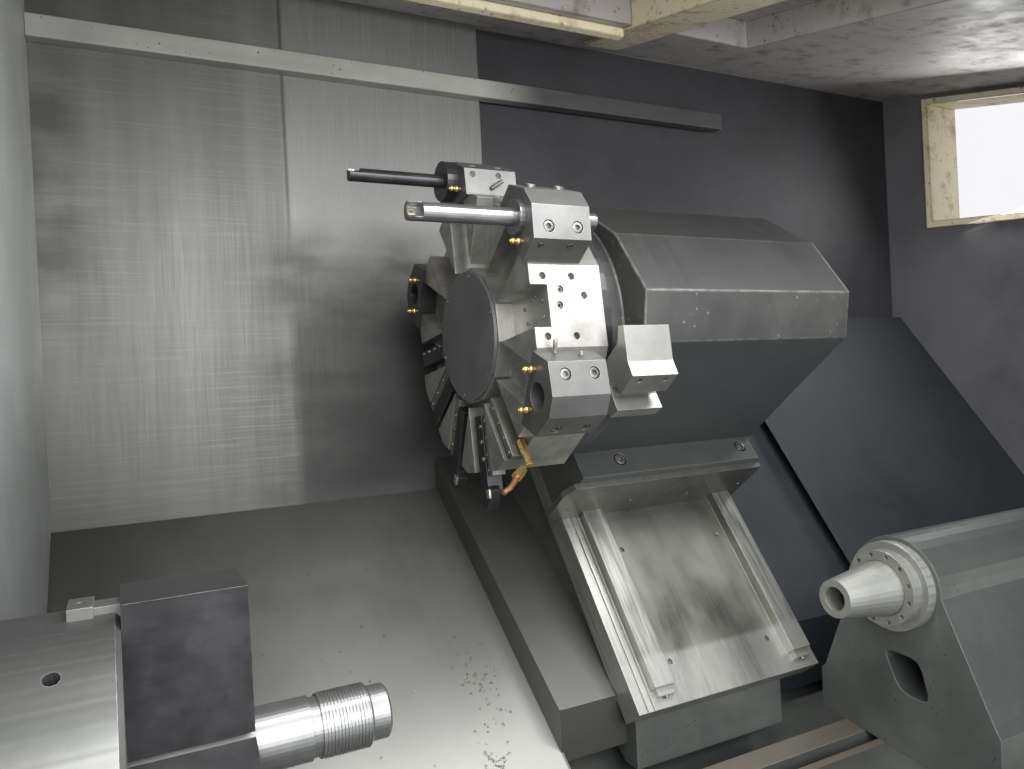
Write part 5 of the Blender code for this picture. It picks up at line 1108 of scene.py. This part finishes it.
@dataclass
class Turret(Assembly):
    """The turret disc with its screws, nozzles and cutting tips.

    Places in a station's frame are named by their direction: along the machine, across the station and
    out from the turret axis.
    """

    body: str = "turret"
    cover_radius: float = 0.133
    cover_screw: Screw = Screw(0.0042, 0.0016)
    cover_screw_count: int = 6
    cover_screw_turn: float = 12.0
    cover_screw_inset: float = 0.010
    cover_face: float = -0.0063

    holder_stations: tuple[int, ...] = (5, 7, 9, 11)
    proud_stations: tuple[int, ...] = (7, 9)
    holder_front: float = -0.008
    holder_length: float = 0.116
    shoulder: float = 0.335
    top: float = 0.368
    half_width: float = 0.070
    top_half: float = 0.020
    clamp_screw: Screw = Screw(0.0098, 0.0085)
    proud_screw: Screw = Screw(0.0098, 0.0150)
    screw_shares: tuple[float, float] = (0.27, 0.77)
    screw_run: float = 0.63
    screw_seat: float = 0.0095
    side_screw: Screw = Screw(0.0062, 0.0014)
    side_places: tuple[tuple[int, float], ...] = ((9, 0.3190), (7, 0.3230))
    side_along: tuple[float, float] = (0.012, 0.070)

    nozzle_places: tuple[tuple[int, float, float], ...] = (
        (9, -0.0410, 0.3000),
        (11, 0.0415, 0.2950),
        (11, -0.0320, 0.3010),
        (5, -0.0375, 0.3050),
        (5, 0.0340, 0.2910),
        (7, -0.0430, 0.3000),
    )
    nozzle_root: float = 0.001
    nozzle_length: float = 0.024
    nozzle_radius: float = 0.0042
    nozzle_tip: float = 0.0026
    nozzle_balls: tuple[tuple[float, float], ...] = ((0.007, 0.0064), (0.018, 0.0058))

    nut_radii: tuple[float, float] = (0.0092, 0.0105)
    tube_radius: float = 0.0052
    tube_run: tuple[tuple[float, float], ...] = (
        (0.0090, 0.3239),
        (0.0010, 0.3306),
        (-0.0110, 0.3400),
        (-0.0190, 0.3500),
        (-0.0320, 0.3610),
        (-0.0470, 0.3680),
    )

    gibs: tuple[tuple[int, float, float, tuple[float, ...]], ...] = (
        (0, -0.0260, -0.0110, (0.172, 0.207, 0.242, 0.275)),
        (1, 0.0185, 0.0368, (0.178, 0.212, 0.246, 0.276)),
        (2, -0.0368, -0.0185, (0.190, 0.224, 0.261)),
        (3, -0.0368, -0.0200, (0.182, 0.228, 0.271)),
    )
    gib_face: float = 0.0040
    gib_back: float = 0.0337
    gib_foot: float = 0.150
    gib_head: float = 0.288
    gib_edge: float = 0.0012
    gib_screw: Screw = Screw(0.0048, 0.0022)
    gib_screw_seat: float = 0.0008
    tool_screw: Screw = Screw(0.0045, 0.0045)
    tool_screws: tuple[tuple[int, float, float, tuple[float, ...]], ...] = (
        (1, 0.0105, 0.0016, (0.188, 0.219, 0.254)),
        (4, -0.0120, 0.0036, (0.172, 0.205, 0.240, 0.275)),
    )

    facet_station: int = 10
    facet_screw: Screw = Screw(0.0062, 0.0105)
    facet_seat: float = 0.2660
    facet_places: tuple[tuple[float, float], ...] = ((0.060, 0.030), (0.056, 0.001))
    floor_screw: Screw = Screw(0.0036, 0.0018)
    floor_along: float = 0.0336
    floor_places: tuple[tuple[float, float], ...] = (
        (0.0125, 0.1878),
        (0.0144, 0.2557),
        (-0.0155, 0.2561),
        (0.0270, 0.2330),
        (-0.0163, 0.2195),
        (-0.0142, 0.1933),
    )

    stud_pitch: float = 0.0022
    studs_at: tuple[tuple[int, tuple, tuple, float], ...] = (
        (11, (0.030, 0.0700, 0.2900), (0.027, 0.0930, 0.2920), 0.0042),
        (11, (0.073, 0.0700, 0.3080), (0.073, 0.0775, 0.3085), 0.0042),
        (7, (0.050, -0.0712, 0.2940), (0.072, -0.0840, 0.3080), 0.0048),
    )

    insert_edge: float = 0.0006
    bar_inserts: tuple[tuple[int, tuple, tuple], ...] = (
        (9, (-0.2175, -0.0170, 0.3212), (-0.2045, -0.0040, 0.3262)),
        (7, (-0.2295, -0.0150, 0.3329), (-0.2175, -0.0030, 0.3376)),
    )
    bar_insert_screw: Screw = Screw(0.0030, 0.0010)
    bar_insert_seat: float = 0.0002
    tool_stations: tuple[int, int] = (1, 2)
    tool_insert_low: tuple[float, float, float] = (-0.0028, 0.0120, 0.3150)
    tool_insert_high: tuple[float, float, float] = (0.0015, 0.0268, 0.3330)
    tool_insert_screw: Screw = Screw(0.0032, 0.0010)
    tool_insert_place: tuple[float, float, float] = (-0.0027, 0.0194, 0.3240)

    def flank_seat(self, side: int, share: float) -> Matrix:
        """The seat of a clamp screw on a holder's sloped flank, in the holder's station frame.

        Args:
            side: Which flank, -1 or 1.
            share: The screw's place along the holder, as a share of its length.

        Returns:
            The seat's frame.
        """
        slope = Vector((0, self.half_width - self.top_half, self.shoulder - self.top))
        run = slope * self.screw_run
        along = self.holder_front + share * self.holder_length
        middle = Vector((along, side * (self.top_half + run.y), self.top + run.z))
        out = Vector((0, side * -slope.z, slope.y)).normalized()
        turn = Vector(UPWARD).rotation_difference(out).to_matrix().to_4x4()
        return Matrix.Translation(middle - out * self.screw_seat) @ turn

    def holder_screws(self) -> None:
        """The screws in the bore holders' flanks, of which some far ones stand proud, and in their sides."""
        clamps = bmesh.new()
        for index in self.holder_stations:
            for flank in (-1, 1):
                proud = flank == 1 and index in self.proud_stations
                screw = self.proud_screw if proud else self.clamp_screw
                for share in self.screw_shares:
                    screw.add(clamps, station(index) @ self.flank_seat(flank, share))
        sides = bmesh.new()
        for index, out in self.side_places:
            for along in self.side_along:
                place = station(index) @ Matrix.Translation((along, -self.half_width, out)) @ FACE_DOWN
                self.side_screw.add(sides, place)
        self.shop.piece("holder_clamp_screws", clamps, SCREW_STEEL, self.body)
        self.shop.piece("holder_side_screws", sides, BLACK, self.body)

    def cover_screws(self) -> None:
        """The flat screws round the rim of the turret's round cover."""
        shape = bmesh.new()
        for index in range(self.cover_screw_count):
            angle = math.radians(index * 360 / self.cover_screw_count + self.cover_screw_turn)
            seat = Matrix.Translation((self.cover_face, 0, self.cover_radius - self.cover_screw_inset))
            self.cover_screw.add(shape, TURRET @ Matrix.Rotation(angle, 4, "X") @ seat @ FACE_LEFT)
        self.shop.piece("cover_screws", shape, SCREW_STEEL, self.body)

    def nozzles(self) -> None:
        """The brass coolant nozzles on the front of the bore holders, each with two balls."""
        shape = bmesh.new()
        for index, across, out in self.nozzle_places:
            frame = station(index)
            root = frame @ Vector((self.holder_front + self.nozzle_root, across, out))
            tip = frame @ Vector((self.holder_front - self.nozzle_length, across, out))
            add_rod(shape, self.nozzle_radius, root, tip, 14, self.nozzle_tip)
            for depth, radius in self.nozzle_balls:
                add_ball(shape, radius, frame @ Vector((self.holder_front - depth, across, out)))
        self.shop.piece("coolant_nozzles", shape, BRASS, self.body)

    def fitting_pipe(self) -> None:
        """The nuts and the copper tube over the coolant fitting's pipe."""
        frame = station(0)
        run = [frame @ Vector((along, 0, out)) for along, out in self.tube_run]
        nuts = bmesh.new()
        for radius, start, end in zip(self.nut_radii, run, run[1:], strict=False):
            add_rod(nuts, radius, start, end, 6)
        self.shop.piece("coolant_nuts", nuts, BRASS, self.body)
        tube = bmesh.new()
        for start, end in zip(run[2:], run[3:], strict=False):
            add_rod(tube, self.tube_radius, start, end, 18)
            add_ball(tube, self.tube_radius, start)
        self.shop.piece("coolant_tube", tube, COPPER, self.body)

    def slot_gibs(self) -> None:
        """The wedge plates beside the tools in the disc's slots, each with its row of screws."""
        plates = bmesh.new()
        screws = bmesh.new()
        for index, low, high, rows in self.gibs:
            frame = station(index)
            corners = (self.gib_face, low, self.gib_foot), (self.gib_back, high, self.gib_head)
            add_block(plates, *corners, frame, self.gib_edge)
            for out in rows:
                seat = Matrix.Translation((self.gib_face - self.gib_screw_seat, (low + high) / 2, out))
                self.gib_screw.add(screws, frame @ seat @ FACE_LEFT)
        for index, across, face, rows in self.tool_screws:
            for out in rows:
                place = station(index) @ Matrix.Translation((face, across, out)) @ FACE_LEFT
                self.tool_screw.add(screws, place)
        self.shop.piece("slot_gibs", plates, GIB_STEEL, self.body)
        self.shop.piece("slot_gib_screws", screws, SCREW_STEEL, self.body)

    def facet_screws(self) -> None:
        """The screws sunk in the drilled facet and in the floor of its slot."""
        shape = bmesh.new()
        frame = station(self.facet_station)
        for along, across in self.facet_places:
            self.facet_screw.add(shape, frame @ Matrix.Translation((along, across, self.facet_seat)))
        for across, out in self.floor_places:
            place = frame @ Matrix.Translation((self.floor_along, across, out)) @ FACE_LEFT
            self.floor_screw.add(shape, place)
        self.shop.piece("facet_screws", shape, SCREW_STEEL, self.body)

    def studs(self) -> None:
        """The threaded studs on the lower holder's upper side, and the loose screw on the rear holder."""
        shape = bmesh.new()
        for index, start, end, radius in self.studs_at:
            frame = station(index)
            add_thread(shape, frame @ Vector(start), frame @ Vector(end), radius, self.stud_pitch)
        self.shop.piece("loose_studs", shape, SCREW_STEEL, self.body)

    def inserts(self) -> None:
        """The carbide inserts on the flats of the boring bars and on the turning tools' heads."""
        shape = bmesh.new()
        screws = bmesh.new()
        for index, low, high in self.bar_inserts:
            frame = station(index)
            add_block(shape, low, high, frame, self.insert_edge)
            middle = (Vector(low) + Vector(high)) / 2
            middle.z = high[2] - self.bar_insert_seat
            self.bar_insert_screw.add(screws, frame @ Matrix.Translation(middle))
        for index in self.tool_stations:
            frame = station(index)
            add_block(shape, self.tool_insert_low, self.tool_insert_high, frame, self.insert_edge)
            self.tool_insert_screw.add(screws, frame @ Matrix.Translation(self.tool_insert_place) @ FACE_LEFT)
        self.shop.piece("tool_inserts", shape, INSERT, self.body)
        self.shop.piece("insert_screws", screws, BLACK, self.body)

    def build(self) -> None:
        """Builds every piece of the turret."""
        self.holder_screws()
        self.cover_screws()
        self.nozzles()
        self.fitting_pipe()
        self.slot_gibs()
        self.facet_screws()
        self.studs()
        self.inserts()


@dataclass
class Workpiece(Assembly):
    """The shaft in the chuck, with the thread near its end."""

    body: str = "spindle"
    radius: float = 0.0385
    end_x: float = -0.468
    nose: float = 0.026
    length: float = 0.068
    pitch: float = 0.0045
    ridge_share: float = 0.42
    ridge_foot: float = 0.0002
    ridge_height: float = 0.0042

    def build(self) -> None:
        """The thread's ridges, turned round the spindle axis."""
        shape = bmesh.new()
        right = self.end_x - self.nose - self.pitch
        half = self.pitch * self.ridge_share
        foot, crest = self.radius + self.ridge_foot, self.radius + self.ridge_height
        for index in range(int(self.length / self.pitch) - 1):
            x = right - index * self.pitch
            start, middle, end = (SPINDLE @ Vector((place, 0, 0)) for place in (x - half, x, x + half))
            add_rod(shape, foot, start, middle, 48, crest)
            add_rod(shape, crest, middle, end, 48, foot)
        self.shop.piece("shaft_thread", shape, TURNED, self.body)


@dataclass
class CrossSlide(Assembly):
    """The screws of the slideway plate, of the cross slide and of its wiper, in the slide's frame."""

    plate_top: float = -0.300
    plate_screw: Screw = Screw(0.0060, 0.0050)
    plate_seat: float = 0.0068
    plate_places: tuple[tuple[float, float], ...] = (
        (0.226, 0.390), (0.226, 0.651), (0.502, 0.392), (0.498, 0.655),
    )
    stop_screw: Screw = Screw(0.0048, 0.0040)
    stop_places: tuple[float, ...] = (0.1785, 0.5595)
    stop_end: float = 0.714
    stop_rise: float = 0.007
    flange_screw: Screw = Screw(0.0130, 0.0135)
    flange_places: tuple[float, ...] = (0.208, 0.561)
    flange_run: float = 0.243
    flange_top: float = -0.145
    flange_seat: float = 0.0118
    wiper_screw: Screw = Screw(0.0042, 0.0022)
    wiper_face: float = -0.2943
    wiper_seat: float = 0.0003
    wiper_places: tuple[tuple[float, float], ...] = (
        (0.100, -0.255), (0.267, -0.252), (0.438, -0.257), (0.590, -0.240),
    )

    def build(self) -> None:
        """Builds the screws on the saddle's plate and on the cross slide."""
        shape = bmesh.new()
        for x, down in self.plate_places:
            seat = Matrix.Translation((x, -down, self.plate_top - self.plate_seat))
            self.plate_screw.add(shape, SLIDE @ seat)
        for x in self.stop_places:
            seat = Matrix.Translation((x, -self.stop_end, self.plate_top + self.stop_rise))
            self.stop_screw.add(shape, SLIDE @ seat @ FACE_DOWN)
        self.shop.piece("plate_screws", shape, SCREW_STEEL, "saddle")
        shape = bmesh.new()
        for x in self.flange_places:
            seat = Matrix.Translation((x, -self.flange_run, self.flange_top - self.flange_seat))
            self.flange_screw.add(shape, SLIDE @ seat)
        for x, out in self.wiper_places:
            seat = Matrix.Translation((x, self.wiper_face + self.wiper_seat, out))
            self.wiper_screw.add(shape, SLIDE @ seat @ FACE_DOWN)
        self.shop.piece("cross_slide_screws", shape, SCREW_STEEL, "cross_slide_body")


@dataclass
class Tailstock(Assembly):
    """The screws of the tailstock's ring, and the nut in its pocket."""

    body: str = "tailstock"
    ring_screw: Screw = Screw(0.0042, 0.0046)
    ring_circle: float = 0.066
    ring_count: int = 12
    ring_left: float = 0.5537
    ring_seat: float = 0.0058
    pocket_end: float = 0.720
    nut_sunk: float = 0.0004
    nut_y: float = -0.290
    nut_z: float = 0.906
    washer_radius: float = 0.030
    washer_top: float = 0.004
    nut_radius: float = 0.0215
    nut_top: float = 0.020
    stud_radius: float = 0.0110
    stud_top: float = 0.044
    stud_pitch: float = 0.0030

    def build(self) -> None:
        """Builds the ring's cap screws, and the washer, nut and stud in the pocket."""
        shape = bmesh.new()
        for index in range(self.ring_count):
            turn = Matrix.Rotation(math.radians((index + 0.5) * 360 / self.ring_count), 4, "X")
            seat = Matrix.Translation((self.ring_left + self.ring_seat, self.ring_circle, 0))
            self.ring_screw.add(shape, SPINDLE @ turn @ seat @ FACE_LEFT)
        self.shop.piece("ring_screws", shape, SCREW_STEEL, self.body)
        shape = bmesh.new()
        seat = Matrix.Translation((self.pocket_end - self.nut_sunk, self.nut_y, self.nut_z)) @ FACE_LEFT
        heights = (0, self.washer_top, self.nut_top, self.stud_top)
        foot, washer, nut, stud = (seat @ Vector((0, 0, height)) for height in heights)
        add_rod(shape, self.washer_radius, foot, washer, 32)
        add_rod(shape, self.nut_radius, washer, nut, 6)
        add_thread(shape, nut, stud, self.stud_radius, self.stud_pitch)
        self.shop.piece("clamp_nut", shape, SCREW_STEEL, self.body)


@dataclass
class Swarf(Assembly):
    """The curled chips that lie on the moving left cover.

    Attributes:
        fields: Rows of a field's middle, its spread along and across the machine, and its chips' number.
        thickness: The thickness of a chip.
        pitch_share: How far a chip's turns stand apart, as a share of its width.
        rear_limit: The chips lie in front of this place.
        front_limit: The chips lie behind this place.
        right_limit: The chips lie to the left of this place.
    """

    seed: int = 7
    fields: tuple[tuple[float, float, float, float, int], ...] = (
        (-0.13, 0.10, 0.05, 0.09, 60),
        (-0.17, -0.03, 0.04, 0.05, 46),
        (-0.45, 0.20, 0.28, 0.22, 26),
    )
    cover_rear: float = 0.58
    cover_top: float = 1.268
    rear_limit: float = 0.5
    front_limit: float = -0.06
    right_limit: float = -0.036
    radii: tuple[float, float] = (0.0008, 0.0026)
    widths: tuple[float, float] = (0.0006, 0.0016)
    turns: tuple[float, float] = (0.4, 1.5)
    tilt: float = 0.4
    thickness: float = 0.0003
    pitch_share: float = 0.35
    steps: int = 8

    def curl(self, shape: Shape, place: Matrix, radius: float, width: float, turns: float) -> None:
        """Adds one chip, a thin ribbon wound into part of a helix.

        Args:
            shape: The bmesh that takes it.
            place: The frame whose X axis it winds round.
            radius: Its inner radius.
            width: The ribbon's width.
            turns: How many turns it has.
        """
        chip = bmesh.new()
        middle = Matrix.Translation((width / 2, radius + self.thickness / 2, 0))
        size = Matrix.Diagonal((width, self.thickness, 1, 1))
        bmesh.ops.create_grid(chip, x_segments=1, y_segments=1, size=0.5, matrix=middle @ size)
        bmesh.ops.spin(
            chip, geom=[*chip.verts, *chip.edges, *chip.faces], cent=(0, 0, 0), axis=(1, 0, 0),
            dvec=(width * self.pitch_share * turns, 0, 0), angle=turns * math.tau, steps=self.steps,
        )
        bmesh.ops.transform(chip, matrix=place, verts=chip.verts)
        add_all(shape, chip)

    def build(self) -> None:
        """Scatters the chips."""
        draw = random.Random(self.seed)
        shape = bmesh.new()
        lean = Matrix.Rotation(COVER_SLANT, 4, "X")
        for middle_x, middle_y, spread_x, spread_y, count in self.fields:
            for _ in range(count):
                x = draw.gauss(middle_x, spread_x / 2)
                y = max(self.front_limit, min(self.rear_limit, draw.gauss(middle_y, spread_y / 2)))
                if x > self.right_limit:
                    continue
                radius = draw.uniform(*self.radii)
                cover = self.cover_top - (self.cover_rear - y) * math.tan(COVER_SLANT)
                turn = Matrix.Rotation(draw.uniform(0, math.tau), 4, "Z")
                tilt = Matrix.Rotation(draw.uniform(-self.tilt, self.tilt), 4, "Y")
                middle = Matrix.Translation((x, y, cover + radius / math.cos(COVER_SLANT)))
                place = middle @ lean @ turn @ tilt
                self.curl(shape, place, radius, draw.uniform(*self.widths), draw.uniform(*self.turns))
        self.shop.piece("swarf", shape, CHIP, "saddle", smooth=False)


@dataclass(frozen=True)
class Lamp:
    """A soft lamp.

    Attributes:
        name: Its name.
        place: Where it hangs.
        target: Where it shines.
        size: Its width and height.
        power: Its power in watts.
    """

    name: str
    place: tuple[float, float, float]
    target: tuple[float, float, float]
    size: tuple[float, float]
    power: float

    def hang(self) -> None:
        """Adds the lamp to the scene."""
        data = bpy.data.lights.new(self.name, "AREA")
        data.shape = "RECTANGLE"
        data.size, data.size_y = self.size
        data.energy = self.power
        lamp = bpy.data.objects.new(self.name, data)
        aim = (Vector(self.target) - Vector(self.place)).to_track_quat("-Z", "Y").to_matrix().to_4x4()
        lamp.matrix_world = Matrix.Translation(self.place) @ aim
        lamp.visible_camera = False
        bpy.context.scene.collection.objects.link(lamp)


@dataclass
class Studio:
    """The pale floor, the soft light and the camera."""

    place: tuple[float, float, float] = (-0.775, -1.37, 1.548)
    yaw: float = math.radians(26.9)
    pitch: float = math.radians(-0.25)
    roll: float = math.radians(-2.8)
    lens: float = 27.04
    sensor: float = 36.0
    nearest: float = 0.02
    farthest: float = 200.0
    lamps: tuple[Lamp, ...] = (
        Lamp("front_lamp", (-0.2, -2.3, 2.0), (0.2, 0.2, 1.3), (2.6, 1.6), 84.0),
        Lamp("inner_lamp", (0.1, -0.62, 2.18), (0.1, 0.0, 1.2), (1.5, 0.25), 19.0),
        Lamp("window_lamp", (1.80, 0.10, 2.15), (0.3, 0.0, 1.3), (0.4, 0.5), 5.0),
    )
    sky: Colour = (0.93, 0.96, 1.0)
    sky_strength: float = 0.9
    background: Colour = (0.97, 0.97, 0.98)
    floor_half: float = 30.0
    floor_dark: Colour = (0.76, 0.76, 0.75)
    floor_pale: Colour = (0.80, 0.80, 0.79)

    def camera(self) -> None:
        """Sets the camera where the photograph was taken from."""
        level_reach = math.cos(self.pitch)
        forward = Vector(
            (math.sin(self.yaw) * level_reach, math.cos(self.yaw) * level_reach, math.sin(self.pitch))
        )
        level = Vector((math.cos(self.yaw), -math.sin(self.yaw), 0))
        upward = level.cross(forward)
        right = level * math.cos(self.roll) + upward * math.sin(self.roll)
        top = upward * math.cos(self.roll) - level * math.sin(self.roll)
        data = bpy.data.cameras.new("camera")
        data.lens = self.lens
        data.sensor_width = self.sensor
        data.clip_start = self.nearest
        data.clip_end = self.farthest
        camera = bpy.data.objects.new("camera", data)
        turn = Matrix((right, top, -forward)).transposed().to_4x4()
        camera.matrix_world = Matrix.Translation(self.place) @ turn
        bpy.context.scene.collection.objects.link(camera)
        bpy.context.scene.camera = camera

    def light(self) -> None:
        """Hangs the soft lamps, and sets the even world with its white background."""
        for lamp in self.lamps:
            lamp.hang()
        world = bpy.data.worlds.new("world")
        world.use_nodes = True
        tree = world.node_tree
        tree.nodes.clear()
        output = tree.nodes.new("ShaderNodeOutputWorld")
        mixed = tree.nodes.new("ShaderNodeMixShader")
        soft = tree.nodes.new("ShaderNodeBackground")
        soft.inputs["Color"].default_value = (*self.sky, 1.0)
        soft.inputs["Strength"].default_value = self.sky_strength
        white = tree.nodes.new("ShaderNodeBackground")
        white.inputs["Color"].default_value = (*self.background, 1.0)
        rays = tree.nodes.new("ShaderNodeLightPath")
        either = tree.nodes.new("ShaderNodeMath")
        either.operation = "MAXIMUM"
        for source, target in (
            (rays.outputs["Is Camera Ray"], either.inputs[0]),
            (rays.outputs["Is Transmission Ray"], either.inputs[1]),
            (either.outputs[0], mixed.inputs[0]),
            (soft.outputs[0], mixed.inputs[1]),
            (white.outputs[0], mixed.inputs[2]),
            (mixed.outputs[0], output.inputs["Surface"]),
        ):
            tree.links.new(source, target)
        bpy.context.scene.world = world

    def floor(self) -> None:
        """Lays the pale floor."""
        shape = bmesh.new()
        bmesh.ops.create_grid(shape, x_segments=1, y_segments=1, size=self.floor_half)
        mesh = bpy.data.meshes.new("floor")
        shape.to_mesh(mesh)
        shape.free()
        floor = bpy.data.objects.new("floor", mesh)
        bpy.context.scene.collection.objects.link(floor)
        graph = Graph("floor_pale")
        cloud = graph.noise(graph.mapped(EVEN), 1.2, 4.0, 0.5)
        graph.link(graph.mix(cloud, self.floor_dark, self.floor_pale), graph.shader.inputs["Base Color"])
        graph.shader.inputs["Roughness"].default_value = 0.7
        mesh.materials.append(graph.material)

    def build(self) -> None:
        """Builds the whole studio."""
        self.camera()
        self.light()
        self.floor()
        bpy.context.scene.view_settings.view_transform = "Standard"


def main() -> None:
    """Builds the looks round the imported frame."""
    logging.basicConfig(level=logging.INFO, format="%(message)s")
    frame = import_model()
    shop = Workshop(frame)
    shop.dress()
    for assembly in (Turret, Workpiece, CrossSlide, Tailstock, Swarf):
        assembly(shop).build()
    Studio().build()


if __name__ == "__main__":
    main()
